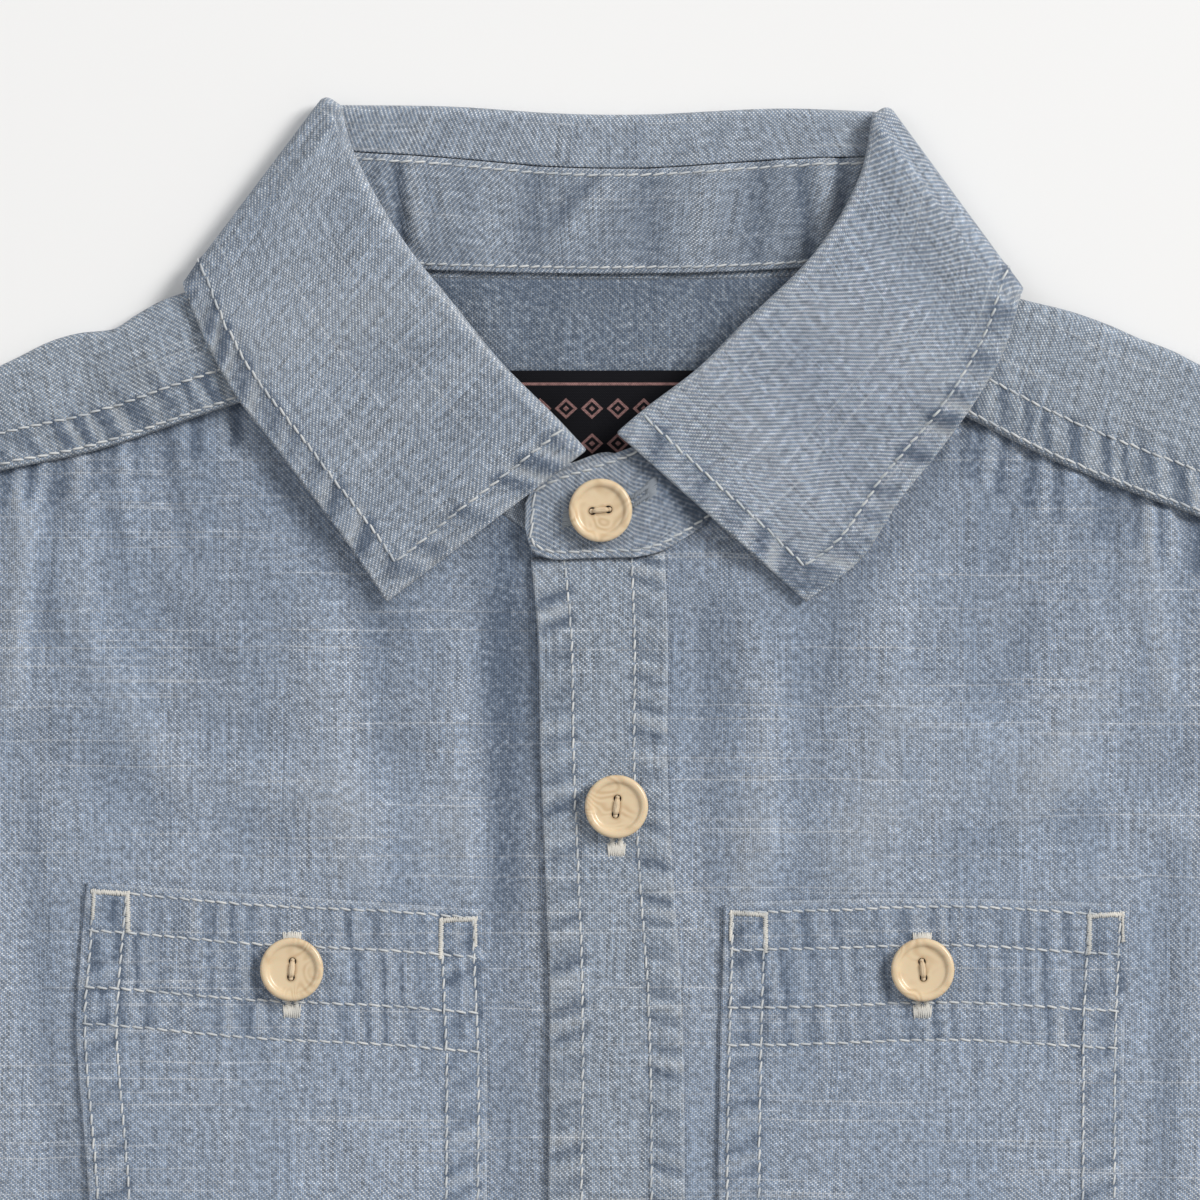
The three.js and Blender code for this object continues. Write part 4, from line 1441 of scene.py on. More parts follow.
@dataclass
class BackPanel:
    """The back below the yoke, flat on the table."""

    seam: float = -62.0
    width: float = 370.0
    step: float = 4.0

    def build(self) -> Wall:
        """Makes the panel, with its hem sewn.

        Returns:
            Its wall.
        """
        armhole = smooth_line(ARMHOLE, np.linspace(0, 1, 400))
        start = armhole[armhole[:, 1] < self.seam - LAYERS.gap][0]
        below = armhole[armhole[:, 1] < self.seam - 3.0][::8]
        side_seam = smooth_line(SIDE_SEAM, np.linspace(0, 1, 80)[1:])
        side = np.vstack([start, below, armhole[-1:], side_seam])
        other = side * [-1, 1]
        across = shares(self.width, self.step)
        points = between(side, other, across, lambda x, y: np.full(x.shape, LAYERS.back))
        drop = smoothstep(points[..., 1], -200.0, -472.0)
        points[..., 1] += (LAY.hem_at(points[..., 0]) + 472.0) * np.clip(drop, 0, 1)
        grid = Grid(points, plan_cloth(points)).facing(True)
        hem = hem_row(-180.0, 180.0, 60)
        grid = sewn(grid, [Seam(hem, roping=0.0)])
        wall = build_wall("Back", [grid], LAYERS.panel, BODY_CLOTH.material())
        declare(wall, "back_panel")
        return wall


@dataclass
class Front:
    """A front, from under the yoke to the hem."""

    side: Side
    step: float = 1.45
    neck: Tuple[Point, ...] = (
        (-52.6, -7.2), (-35.8, -28.2), (-21.6, -40.5), (-7, -49.4), (8, -50.2),
    )
    centre: float = 8.0

    def outline(self) -> Tuple[Array, Array]:
        """The inner edge, round the neck and down the centre, and the outer edge.

        Returns:
            The two lines, with as many points each.
        """
        rows = (66, 84, 74)
        round_neck, to_near, beyond = (np.linspace(0, 1, count + 1) for count in rows)
        neck = smooth_line(self.neck, round_neck)
        near = 0.28
        down = np.concatenate([to_near * near, near + (1 - near) * beyond[1:]])[1:]
        start = self.neck[-1][1]
        y = start + (LAY.hem - start) * down
        centre = np.column_stack([np.full(down.shape, self.centre), y])
        high = smooth_line(ARMHOLE, 0.06 + 0.69 * round_neck)
        low = smooth_line(ARMHOLE, np.linspace(0.75, 1, 60))
        low = np.vstack([low, smooth_line(SIDE_SEAM, np.linspace(0, 1, 300))[1:]])
        length = distances(low)
        outer = np.column_stack([np.interp(down * length[-1], length, low[:, k]) for k in (0, 1)])
        return np.vstack([neck, centre]), mirrored(np.vstack([high, outer]), self.side)

    def build(self) -> Tuple[Wall, Grid]:
        """Makes the panel with the folds and the puckers beside its seams.

        Returns:
            Its wall and its grid.
        """
        inner, outer = self.outline()
        across = join_shares((0.0, 0.76, 90), (0.76, 1.0, 14))
        flat = between(inner, outer, across, lambda x, y: x * 0.0)
        way = self.side.value
        edge = smooth_line(YOKE_EDGES[self.side], np.linspace(0, 1, 60))
        top = np.interp(flat[0, :, 0] * way, edge[:, 0] * way, edge[:, 1] + 8.0)
        top[-1] = flat[0, -1, 1]
        fade = np.clip(1 - np.arange(len(flat)) / 40.0, 0, 1) ** 2
        flat[..., 1] += (top - flat[0, :, 1])[None] * fade[:, None]
        low = smoothstep(np.arange(len(flat)) / (len(flat) - 1.0), 0.6, 1.0)[:, None]
        flat[..., 1] += (LAY.hem_at(flat[-1, :, 0]) - flat[-1, :, 1])[None] * low
        flat[..., 2] = front_level(flat[..., 0], flat[..., 1])
        grid = Grid(flat, plan_cloth(flat)).facing(True)
        edge = smooth_line(YOKE_EDGES[self.side], np.linspace(0, 1, 24))
        beside = 1.0 if self.side is Side.LEFT else -1.0
        seams = [
            Seam(as_points(edge), 0.0, 0.28, (-11.0, 8.0), 7.0, 0.35 * beside, 0.55, 31 + way),
            Seam(self.hem_row(), 0.2, 0.1, (-7.0, 7.0), 6.0, 0.5, 0.4, 8),
        ]
        grid = sewn(grid, seams, 0.2)
        # Painted shade in the trough beside the placket's free edge.
        placket_shadow = Fold((-20, -50), (-20, -118), 5.0, -0.75)
        # Painted light and shade on the creases: paler ridges, darker troughs, and the leaves'
        # painted shadow.
        grid.wear_and_shade = grid.wear_and_shade + rise_of((*LAY.creases, placket_shadow), grid.x, grid.y) + 0.1
        # Painted shade on the upper fronts, under the collar and the yoke.
        grid.wear_and_shade = grid.wear_and_shade - 0.4 * smoothstep(grid.y, -115.0, -55.0)
        wall = build_wall(f"Front_{self.side.word}", [grid], 0.85, BODY_CLOTH.material())
        declare(wall, f"front_{self.side.word}")
        return wall, grid

    def hem_row(self) -> Tuple[Point, ...]:
        """The hem's row of sewing."""
        return hem_row(self.centre + self.side.value * 2, self.side.value * 180, 40)


@dataclass
class Placket:
    """The band down the centre front with its rows of sewing."""

    free: Tuple[Point, ...] = (
        (-14.9, -51.5), (-13.4, -68), (-13, -92), (-12, -116), (-11.2, -140), (-11.4, -180),
        (-13, -498),
    )
    fixed: Tuple[Point, ...] = (
        (12, -50.3), (12.6, -68), (12.6, -96), (14, -120), (15.4, -140), (16, -180), (14, -498),
    )
    row_inside: float = 6.7
    width: float = 27.0

    def build(self) -> Tuple[Wall, Grid, List[Tuple[Point, ...]]]:
        """Makes the band. Returns its wall, its grid and the lines of its rows."""
        down = join_shares((0.0, 0.30, 128), (0.30, 1.0, 110))
        free, fixed = smooth_line(self.free, down), smooth_line(self.fixed, down)
        across = shares(self.width, 0.95)
        points = between(free, fixed, across, placket_level)
        points[..., 2] -= 0.32 * np.exp(-((1 - across[None, :]) * self.width / 2.2) ** 2)
        grid = Grid(points, plan_cloth(points)).facing(True)
        rows = [offset_line(free, self.row_inside), offset_line(fixed, -self.row_inside)]
        rows = [as_points(row[::5]) for row in rows]
        seams = [
            Seam(rows[0], 0.24, 0.18, (-6.7, 1.0), 7.5, 0.3, 0.6, 4),
            Seam(rows[1], 0.24, 0.19, (-1.0, 6.9), 6.2, -0.3, 0.6, 5),
        ]
        grid = sewn(grid, seams, 0.8)
        wall = build_wall("Placket", [grid], 1.05, BAND_CLOTH.material())
        declare(wall, "placket")
        return wall, grid, rows


@dataclass
class Pocket:
    """A patch pocket with its turned top and double rows at the sides."""

    side: Side
    outer: Tuple[Point, ...] = (
        (-103.8, -116.5), (-105.4, -134), (-106, -146), (-103.4, -180), (-102.6, -214),
    )
    inner: Tuple[Point, ...] = (
        (-24.6, -121.9), (-24.2, -136), (-23.6, -150), (-23.6, -180), (-24, -214),
    )
    sag: float = 0.0
    band_rows: Tuple[float, ...] = (2.0, 9.6, 21.0, 28.6)
    side_rows: Tuple[float, ...] = (1.9, 8.2)
    depth: float = 97.0
    width: float = 81.0
    step: float = 1.15

    def build(self) -> Tuple[Wall, Grid]:
        """Makes the pocket with its puckered band and sides.

        Returns:
            Its wall and its grid.
        """
        rows, across = shares(self.depth, self.step), shares(self.width, self.step)
        outer, inner = smooth_line(self.outer, rows), smooth_line(self.inner, rows)
        points = between(outer, inner, across, on_front)
        points[..., 1] += self.sag * np.sin(math.pi * across)[None] * (1 - rows[:, None])
        sides = np.minimum(across, 1 - across)[None] * self.width
        bottom = (1 - rows[:, None]) * self.depth
        fixed = np.exp(-(np.minimum(sides, bottom) / 2.5) ** 2)
        puff = 0.45 * smoothstep(sides, 6.0, 26.0) * smoothstep(rows[:, None], 0.0, 0.3)
        gape = np.exp(-(rows[:, None] * self.depth / 5.0) ** 2)
        gape = 0.35 * gape * smoothstep(sides, 4.0, 26.0)
        points[..., 2] += puff + gape - 0.3 * fixed
        grid = Grid(points, plan_cloth(points)).facing(True)
        band_rows, side = self.rows(), self.side.value
        seams = [
            Seam(line, 0.24, roping, (start, 0.0), 4.8, 0.12, 0.55, 60 + k + 9 * side)
            for k, (line, roping, start) in enumerate(
                zip(band_rows, (0.16, 0.16 - 0.05, 0.16), (-7.6, -7.6 - 3.8, -7.6))
            )
        ]
        seams.append(Seam(band_rows[3], 0.24, 0.12, (-5.0, 0.0), 4.8, 0.12, 0.2, 71))
        for k, line in enumerate(self.sides()):
            roping, reach = (0.0, 1.0) if k % 2 else (0.12, 6.5)
            seams.append(Seam(line, 0.22, roping, (-reach, reach), 7.0, 0.4, 0.38, 80 + k))
        grid = sewn(grid, seams, 0.75)
        wall = build_wall(f"Pocket_{self.side.word}", [grid], 0.9, BODY_CLOTH.material())
        declare(wall, f"pocket_{self.side.word}")
        return wall, grid

    def rows(self) -> List[Tuple[Point, ...]]:
        """The rows across the turned top, from the viewer's left.

        Returns:
            The rows' lines on the flat cloth.
        """
        ends = [smooth_line(line, np.linspace(0, 1, 200)) for line in (self.outer, self.inner)]
        if self.side is Side.LEFT:
            ends = ends[::-1]
        lines = []
        for drop in self.band_rows:
            first, last = (
                line[np.argmin(np.abs(line[:, 1] - (line[0, 1] - drop)))] for line in ends
            )
            x = np.linspace(first[0] + 1.2, last[0] - 1.2, 30)
            y = np.interp(x, (first[0], last[0]), (first[1], last[1]))
            y = y + self.sag * np.sin(math.pi * np.linspace(0, 1, 30)) + 0.25 * np.sin(x / 9.0)
            lines.append(as_points(np.column_stack([x, y])))
        return lines

    def sides(self) -> List[Tuple[Point, ...]]:
        """The double rows down each side.

        Returns:
            The rows' lines on the flat cloth.
        """
        lines = []
        for outline in (self.outer, self.inner):
            edge = smooth_line(outline, np.linspace(0.012, 0.985, 40))
            inward = 1.0 if edge[:, 0].mean() < (self.outer[0][0] + self.inner[0][0]) / 2 else -1.0
            lines += [as_points(offset_line(edge, inward * inside)) for inside in self.side_rows]
        return lines

    def corners(self) -> List[Tuple[Point, float]]:
        """The top corners, with the way in from each."""
        middle = (self.outer[0][0] + self.inner[0][0]) / 2
        tops = (self.outer[0], self.inner[0])
        return [(top, 1.0 if top[0] < middle else -1.0) for top in tops]


@dataclass
class Yoke:
    """The doubled yoke: the back of the neck, round the shoulders and down to the fronts."""

    seam: float = -62.0
    neck: Tuple[Point, ...] = (
        (-58.5, 6), (-48, 5.2), (-25, 4.7), (0, 4.5), (25, 4.7), (48, 5.4), (58.5, 6),
    )
    shoulders: Dict[Side, Tuple[Point, ...]] = field(default_factory=lambda: {
        Side.RIGHT: (
            (-58.5, 9.5), (-72, 5.5), (-84, 1.2), (-88.5, -0.4), (-94.2, -3.6), (-98, -6.0),
            (-105.7, -7.0), (-111.4, -8.7), (-117.2, -11.6), (-121, -13.4), (-135, -19.6),
            (-150, -25),
        ),
        Side.LEFT: (
            (58.5, 8.5), (71, 4.5), (82, 0.2), (93.4, -2.7), (101.1, -5.4), (106.8, -7.9),
            (113.7, -10.5), (119, -13.2), (135, -19.6), (150, -25),
        ),
    })
    first_row: float = 1.3
    second_row: Dict[Side, float] = field(
        default_factory=lambda: {Side.RIGHT: 7.6, Side.LEFT: 9.0}
    )
    lines: int = 72
    rows: Array = field(default_factory=lambda: join_shares((0.0, 0.6, 10), (0.6, 1.0, 30)))
    strip: Array = field(default_factory=lambda: np.linspace(0, 1, 29)[1:])
    middle_half: float = 56.0

    def line(self, seam: Array, shoulder: Array, edge: Array) -> Array:
        """One line up the back, round the shoulder's fold and down to the front edge.

        Args:
            seam: its end at the back seam.
            shoulder: where it goes over the shoulder.
            edge: its end at the front edge.

        Returns:
            The line's points.
        """
        outward = (shoulder - edge) / np.hypot(*(shoulder - edge))
        lowest = float(LAY.back_height(*shoulder))
        highest = float(resting(*shoulder)) + LAYERS.on_panel
        radius = (highest - lowest) / 2
        centre = shoulder - outward * radius
        back = seam + (centre - seam) * self.rows[:, None]
        back = np.column_stack([back, LAY.back_height(back[:, 0], back[:, 1])])
        back[-1, 2] = lowest
        angle = np.radians(np.linspace(-90, 90, 11)[1:])
        fold = centre + outward * (radius * np.cos(angle))[:, None]
        fold = np.column_stack([fold, lowest + radius + radius * np.sin(angle)])
        strip = centre + (edge - centre) * self.strip[:, None]
        strip = np.column_stack([strip, resting(strip[:, 0], strip[:, 1]) + LAYERS.on_panel])
        return np.vstack([back, fold, strip])

    def wing(self, side: Side) -> Grid:
        """The part over one shoulder, as lines from the neck out.

        Args:
            side: the wearer's side.

        Returns:
            Its grid.
        """
        share = np.linspace(0, 1, self.lines + 1)
        shoulder = smooth_line(self.shoulders[side], share)
        edge = smooth_line(YOKE_EDGES[side], share)
        armhole = smooth_line(ARMHOLE, np.linspace(0, 1, 400))
        tip = -armhole[armhole[:, 1] < self.seam][0, 0]
        seam_x = side.value * (self.middle_half + (tip - self.middle_half) * share)
        ends = zip(seam_x, shoulder, edge)
        points = np.stack([self.line(np.array([x, self.seam]), s, e) for x, s, e in ends])
        along = distances_across(points)
        from_edge = along[:, -1:] - along
        u = np.repeat(share[:, None] * length_of(edge), points.shape[1], axis=1)
        cloth = np.dstack([u * side.value, from_edge])
        return Grid(points, cloth, (False, True, True, True))

    def build(self) -> Tuple[Wall, Dict[Side, Tuple[int, Grid]]]:
        """Makes the yoke. Returns its wall and, for each side, its grid and its place."""
        right, left = self.wing(Side.RIGHT), self.wing(Side.LEFT)
        count = len(self.rows)
        share = np.linspace(0, 1, 97)
        neck = smooth_line(self.neck, share)
        seam_x = -self.middle_half + 2 * self.middle_half * share
        seam = np.column_stack([seam_x, np.full(share.shape, self.seam)])
        middle = seam[:, None] + (neck - seam)[:, None] * self.rows[None, :, None]
        middle = np.dstack([middle, LAY.back_height(middle[..., 0], middle[..., 1])])
        middle[0], middle[-1] = right.points[0, :count], left.points[0, :count]
        inside = rise_of(self.inside_folds(), middle[..., 0], middle[..., 1])
        middle[1:-1, :, 2] += inside[1:-1]
        centre = Grid(middle, plan_cloth(middle), (False, False, True, True))
        # Painted shade on the part inside the neck, darkest beside the stand, with painted light
        # and shade on its folds.
        centre.wear_and_shade = centre.wear_and_shade - 1.05 - 0.4 * smoothstep(middle[..., 1], -4.0, 6.0)
        centre.wear_and_shade = centre.wear_and_shade + 0.5 * inside
        grids = []
        for side, grid in ((Side.RIGHT, right), (Side.LEFT, left)):
            u = np.linspace(1.0, grid.cloth[-1, 0, 0] * side.value - 1.0, 40) * side.value
            first = as_points(np.column_stack([u, np.full(u.shape, self.first_row)]))
            second = as_points(np.column_stack([u, np.full(u.shape, self.second_row[side])]))
            low, high = (0.0, self.second_row[side] - 1.0)
            band = (low, high) if side is Side.LEFT else (-high, -low)
            seams = [
                Seam(first, 0.2, 0.26, band, 5.6, 0.3, 1.0, 21 + side.value),
                Seam(second, 0.25, 0.10, (-4.0, 4.0), 6.2, 0.5, 0.3, 24 + side.value),
            ]
            grids.append(sewn(grid, seams, 0.6).facing(True))
        grids.insert(1, centre.facing(False, (0.5, 0.5)))
        wall = build_wall("Yoke", grids, 0.9, YOKE_CLOTH.material())
        declare(wall, "yoke")
        return wall, {Side.RIGHT: (0, grids[0]), Side.LEFT: (2, grids[2])}

    @staticmethod
    def inside_folds() -> Tuple[Fold, ...]:
        """Soft vertical folds in the part that shows inside the neck.

        Returns:
            The folds.
        """
        return (
            Fold((-22, 6), (-20, -40), 5.0, 0.5, 1.5),
            Fold((-6, 6), (-9, -40), 4.0, 0.35, -1.0),
            Fold((14, 6), (15, -40), 5.0, 0.5, 1.5),
            Fold((30, 8), (27, -30), 4.0, 0.4, -1.0),
            Fold((4, 6), (3, -40), 3.0, 0.2, 0.5),
        )

    def rows_of(self, side: Side, grid: Grid) -> List[Tuple[Point, ...]]:
        """The rows of sewing down one side of the strip."""
        end = float(np.abs(grid.cloth[..., 0]).max())
        u = np.linspace(1.0, end - 1.0, 50) * side.value
        rows = (self.first_row, self.second_row[side])
        return [as_points(np.column_stack([u, np.full(u.shape, v)])) for v in rows]


@dataclass
class Label:
    """The label inside the yoke at the back of the neck."""

    left: float = -21.0
    right: float = 21.0
    top: float = -14.0
    bottom: float = -42.0

    def build(self) -> Wall:
        """Makes the label, lying on the yoke.

        Returns:
            Its wall.
        """
        down = shares(self.top - self.bottom, 1.0)
        y = self.top + (self.bottom - self.top) * down
        sides = [np.column_stack([np.full(y.shape, x), y]) for x in (self.left, self.right)]

        def level(x: Array, y: Array) -> Array:
            """Just over the yoke."""
            high = np.maximum(LAY.back_height(x, y + 5), LAY.back_height(x, y))
            return high + 1.15 + rise_of(Yoke.inside_folds(), x, y) * 0.6

        points = between(*sides, shares(self.right - self.left, 1.0), level)
        grid = Grid(points, plan_cloth(points)).facing(True)
        wall = build_wall("Label", [grid], 0.45, WovenLabel().material())
        declare(wall, "label")
        return wall


@dataclass(frozen=True)
class Leaf:
    """One side of the collar's fall, from its front end to its side crease."""

    roll: Tuple[Point, ...]
    edge: Tuple[Point, ...]
    crease_roll: Point
    crease_edge: Point
    neck: Tuple[Point, ...]
    folds: Tuple[Fold, ...]


LEAVES = {
    Side.RIGHT: Leaf(
        ((-4, -30.4), (-10, -24), (-21, -13), (-30, -2), (-41, 12), (-50.5, 29), (-53.4, 38.7)),
        (
            (-43.6, -60.4), (-52, -48), (-61, -36), (-67, -28), (-73.2, -20), (-79.2, -9.5),
            (-82.8, -1.3),
        ),
        (-56, 40.6), (-84.3, 3.0),
        ((-7, -50.6), (-21.5, -42), (-34, -28), (-44.6, -13.6), (-51.4, -3), (-54, 2.6)),
        (
            Fold((-27, -8), (-45, -16), 2.6, -0.55, 1.0),
            Fold((-27, -12), (-40, -22), 3.0, 0.35, -1.0),
            Fold((-34, 0), (-66, -10), 6.0, 0.5, 2.0), Fold((-48, 20), (-74, 6), 6.0, -0.4, 2.0),
            Fold((-22, -22), (-46, -44), 6.0, -0.35, 2.0),
            Fold((-58, 26), (-74, -2), 5.0, 0.4, -2.0),
        ),
    ),
    Side.LEFT: Leaf(
        ((2.6, -27), (8, -22.4), (19, -14), (27, -6), (43, 10), (51.5, 25), (54, 36.8)),
        ((40.2, -60.4), (51, -52), (59, -40), (67, -30), (74.2, -20), (79.6, -10.5), (82.2, -2.8)),
        (56.6, 38.6), (83.5, 1.8),
        (
            (6, -51.5), (10.6, -50.5), (14.6, -48.4), (21.8, -43.4), (33.4, -28.6),
            (44.4, -14.2), (51.2, -3.6), (54, 2.2),
        ),
        (
            Fold((40, -2), (68, -18), 6.0, 0.5, -2.0), Fold((52, 16), (74, -4), 5.0, -0.4, -2.0),
            Fold((16, -20), (44, -46), 6.0, 0.35, -2.0), Fold((34, -2), (44, -30), 5.0, -0.3, 1.5),
            Fold((60, 22), (77, 0), 4.0, 0.35, 1.5), Fold((24, -14), (32, -30), 3.0, 0.25, 1.0),
        ),
    ),
}


@dataclass
class Collar:
    """The fall, turned down over its roll, and the stand that holds it."""

    level: float = 0.6
    roll_heights: Tuple[float, ...] = (11.2, 11.6, 12, 12, 11.2, 9.6, 7.2)
    crease_radii: Tuple[float, float] = (3.3, 3.8)
    roll_radius: float = 1.2
    edge_slide: float = 2.7
    edge_lift: float = 0.9
    seam_front: float = 2.4
    seam_side: float = 5.0
    seam_back: float = 9.0
    depth: float = 48.0
    row_inside: float = 5.8
    back_roll: Tuple[Point, ...] = (
        (-53.4, 38.7), (-31, 38.4), (-9, 37), (7, 36.8), (35, 38), (54, 37.4),
    )
    back_edge: Tuple[Point, ...] = (
        (-81.6, 1.2), (-70, -2.6), (-45, -6), (0, -8), (45, -6.5), (70, -3.4), (80.8, -0.2),
    )
    foot: Tuple[Point, ...] = (
        (-51.5, 8.2), (-42, 6.6), (-22, 5.7), (0, 5.4), (22, 5.7), (42, 6.8), (51.5, 8.2),
    )
    turn_points: Tuple[Tuple[float, float, float], ...] = (
        (54.2, 4.6, 4.6), (54.6, 6.4, 3.6), (53.4, 8, 2.6),
    )
    leaf_lines: int = 86
    crease_lines: int = 13
    back_lines: int = 92
    front_end: Tuple[float, ...] = (0.0, 0.0016, 0.005)
    inner_leg: Tuple[float, ...] = (1, 0.985, 0.95, 0.86, 0.72, 0.56, 0.4, 0.26, 0.12)
    legs: Array = field(default_factory=lambda: np.concatenate(
        [np.linspace(0, 0.985, 46)[1:], [0.9915, 0.9966, 1.0]]
    ))

    def leaf_level(self, x: Array, y: Array) -> Array:
        """Middle of a leaf where it lies on the front, the yoke or the stand.

        Args:
            x: X of the places, in millimetres.
            y: Y of the places, in millimetres.

        Returns:
            The heights in millimetres.
        """
        on_yoke = smoothstep(y, -42.0, -22.0) * LAYERS.on_panel
        on_stand = smoothstep(38 - np.abs(x), 0.0, 14.0) * smoothstep(y, -60.0, -50.0)
        layers = on_yoke + on_stand * (LAYERS.on_panel + LAYERS.on_doubled - on_yoke)
        return resting(x, y) + LAYERS.on_doubled + 0.1 + layers

    def leaf_shares(self) -> Array:
        """Where a leaf's lines are, from its front end to its side crease."""
        return np.concatenate([self.front_end, np.linspace(0, 1, self.leaf_lines + 1)[1:]])

    def line(
        self, roll: Array, edge: Array, out: Array, seam_below: float, leaf: Optional[Leaf] = None
    ) -> Array:
        """One line of the fall: up from the stand's seam, round the roll and down to its edge.

        Args:
            roll: where it goes over the roll.
            edge: its end on the fall's outer edge.
            out: the way that the outer leg faces.
            seam_below: from the roll down to the seam.
            leaf: the leaf it lies on, if it lies on the fronts.

        Returns:
            The line's points.
        """
        flat = np.array([roll[0] - edge[0], roll[1] - edge[1], 0.0])
        towards = flat / np.linalg.norm(flat)
        radius = self.roll_radius
        centre = roll - towards * radius - out * radius
        angle = np.radians(np.linspace(-90, 90, 9))[:, None]
        turn = centre + towards * radius * np.cos(angle) + out * radius * np.sin(angle)
        inner = turn[0] - towards * seam_below * np.array(self.inner_leg)[:, None]
        leg = turn[-1] + (edge - turn[-1]) * self.legs[:, None]
        if leaf is not None:
            height = roll[2] + (edge[2] - roll[2]) * np.sin(self.legs * math.pi / 2)
            level = self.leaf_level(leg[:, 0], leg[:, 1])
            gap = height - level
            soft = level + 0.5 * (gap + np.sqrt(gap**2 + 0.5)) - 0.35 * np.exp(-(gap / 1.2) ** 2)
            leg[:, 2] = np.where(self.legs > 0.0, np.maximum(soft, level), height)
            fade = smoothstep(self.legs, 0.04, 0.2) * (1 - smoothstep(self.legs, 0.86, 1.0))
            uneven = 2.2 * crumple(leg[:, 0] * 0.8, leg[:, 1] * 0.8 + 40)
            leg[:, 2] += (rise_of(leaf.folds, leg[:, 0], leg[:, 1]) + uneven + 0.35) * fade
        return np.vstack([inner, turn, leg])

    def leaf(self, side: Side) -> List[Array]:
        """The lines of one leaf, from its front end.

        Args:
            side: the wearer's side.

        Returns:
            Each line's points.
        """
        leaf = LEAVES[side]
        share = self.leaf_shares()
        rolls, edges = smooth_line(leaf.roll, share), smooth_line(leaf.edge, share)
        heights = np.interp(share * 6, np.arange(7), self.roll_heights)
        kernel = np.ones(9) / 9
        heights = np.convolve(np.pad(heights, 4, "edge"), kernel, "valid")
        lines = []
        for t, roll, edge, height in zip(share, rolls, edges, heights):
            end = float(self.leaf_level(*edge)) + self.edge_lift * math.sin(math.pi * t)
            low = self.level + 2 * self.crease_radii[1]
            end = end + (low - end) * float(smoothstep(t, 0.9, 1.0))
            further = (self.seam_side - self.seam_front) * float(smoothstep(t, 0.7, 1.0))
            over, down_to = np.array([*roll, height]), np.array([*edge, end])
            lies_on = leaf if t < 0.999 else None
            seam = self.seam_front + further
            lines.append(self.line(over, down_to, np.array([0, 0, 1.0]), seam, lies_on))
        return lines

    def crease(self, side: Side) -> List[Array]:
        """The lines that turn round a side crease, from the front to the back.

        Args:
            side: the wearer's side.

        Returns:
            Each line's points.
        """
        leaf = LEAVES[side]
        roll, edge = np.array([*leaf.crease_roll, 0.0]), np.array([*leaf.crease_edge, 0.0])
        sideways = np.cross(roll - edge, [0, 0, 1.0])
        sideways /= np.linalg.norm(sideways)
        if sideways[0] * roll[0] < 0:
            sideways = -sideways
        lines = []
        for degrees in np.linspace(72, -72, self.crease_lines):
            angle = math.radians(degrees)
            out = sideways * math.cos(angle) + np.array([0, 0, math.sin(angle)])
            places = [
                np.array([*(point - sideways * radius)[:2], self.level + radius]) + out * radius
                for point, radius in zip((roll, edge), self.crease_radii)
            ]
            if degrees > 0:
                down = (edge - roll) / np.linalg.norm(edge - roll)
                places[1] = places[1] + down * self.edge_slide * (1 - math.cos(angle))
            share = 0.5 - degrees / 180
            seam = self.seam_side + (self.seam_back - self.seam_side) * share
            lines.append(self.line(places[0], places[1], out, seam))
        return lines

    def back(self) -> List[Array]:
        """The lines behind the neck.

        Returns:
            Each line's points.
        """
        share = np.linspace(0, 1, self.back_lines + 1)
        rolls, edges = smooth_line(self.back_roll, share), smooth_line(self.back_edge, share)
        level, down = np.full((len(share), 1), self.level), np.array([0, 0, -1.0])
        return [
            self.line(roll, edge, down, self.seam_back)
            for roll, edge in zip(np.hstack([rolls, level]), np.hstack([edges, level]))
        ]

    def fall_points(self) -> Array:
        """All the fall's lines, from the right front end round the back to the left one."""
        return np.stack([
            *self.leaf(Side.RIGHT), *self.crease(Side.RIGHT), *self.back(),
            *self.crease(Side.LEFT)[::-1], *self.leaf(Side.LEFT)[::-1],
        ])

    def chart(self, points: Array) -> Array:
        """The fall's places on the flat cloth: along it, and out from its roll.

        Args:
            points: the fall's lines.

        Returns:
            The places, as a grid.
        """
        start = len(self.inner_leg) + 4
        steps = np.linalg.norm(np.diff(points, axis=0), axis=2)
        steps = (steps[:, start] + steps[:, -1]) / 2
        u = np.concatenate([[0.0], np.cumsum(steps)])
        along = distances_across(points)
        v = along - along[:, start : start + 1]
        outer = v > 0
        v = np.where(outer, v * self.depth / v[:, -1:], v)
        return np.dstack([np.repeat(u[:, None], points.shape[1], axis=1), v])

    def build_fall(self) -> Tuple[Wall, Grid, Tuple[Tuple[Point, ...], ...], Array]:
        """Makes the fall. Returns its wall, its grid, each leaf's rows and its plain lines."""
        points = self.fall_points()
        plain = points.copy()
        cloth = self.chart(points)
        grid = Grid(points, cloth, (True, True, False, True))
        end = float(cloth[-1, 0, 0])
        inset, v = self.row_inside, self.depth - self.row_inside
        right = ((inset, 1.0), (inset, v), (end / 2, v))
        left = ((end / 2, v), (end - inset, v), (end - inset, 1.0))
        seams = []
        for number, row in enumerate((right, left)):
            legs = [np.linspace(a, b, 12) for a, b in zip(row, row[1:])]
            dense = as_points(np.vstack([legs[0], *[leg[1:] for leg in legs[1:]]]))
            band = (-1.2, 5.8) if self.turns_left(dense) else (-5.8, 1.2)
            seams.append(Seam(dense, 0.26, 0.20, band, 8.5, 0.6, 0.75, 40 + number))
        outer_leg = smoothstep(cloth[..., 1], 0.5, 3.0)[..., None]
        flat_points = grid.points.copy()
        grid = sewn(grid, seams, 0.85)
        grid.points = flat_points + (grid.points - flat_points) * outer_leg
        roll_wear = 0.55 * np.exp(-(((cloth[..., 1] - 0.5) / 1.6) ** 2))
        across, out = cloth[..., 0], cloth[..., 1]
        strip = smoothstep(-out, 1.5, 3.0) * ripple(across - 0.5 * out, 11.0, 77)
        behind = (np.abs(across - end / 2) < 62) & (out < -1)
        folds = (*LEAVES[Side.RIGHT].folds, *LEAVES[Side.LEFT].folds)
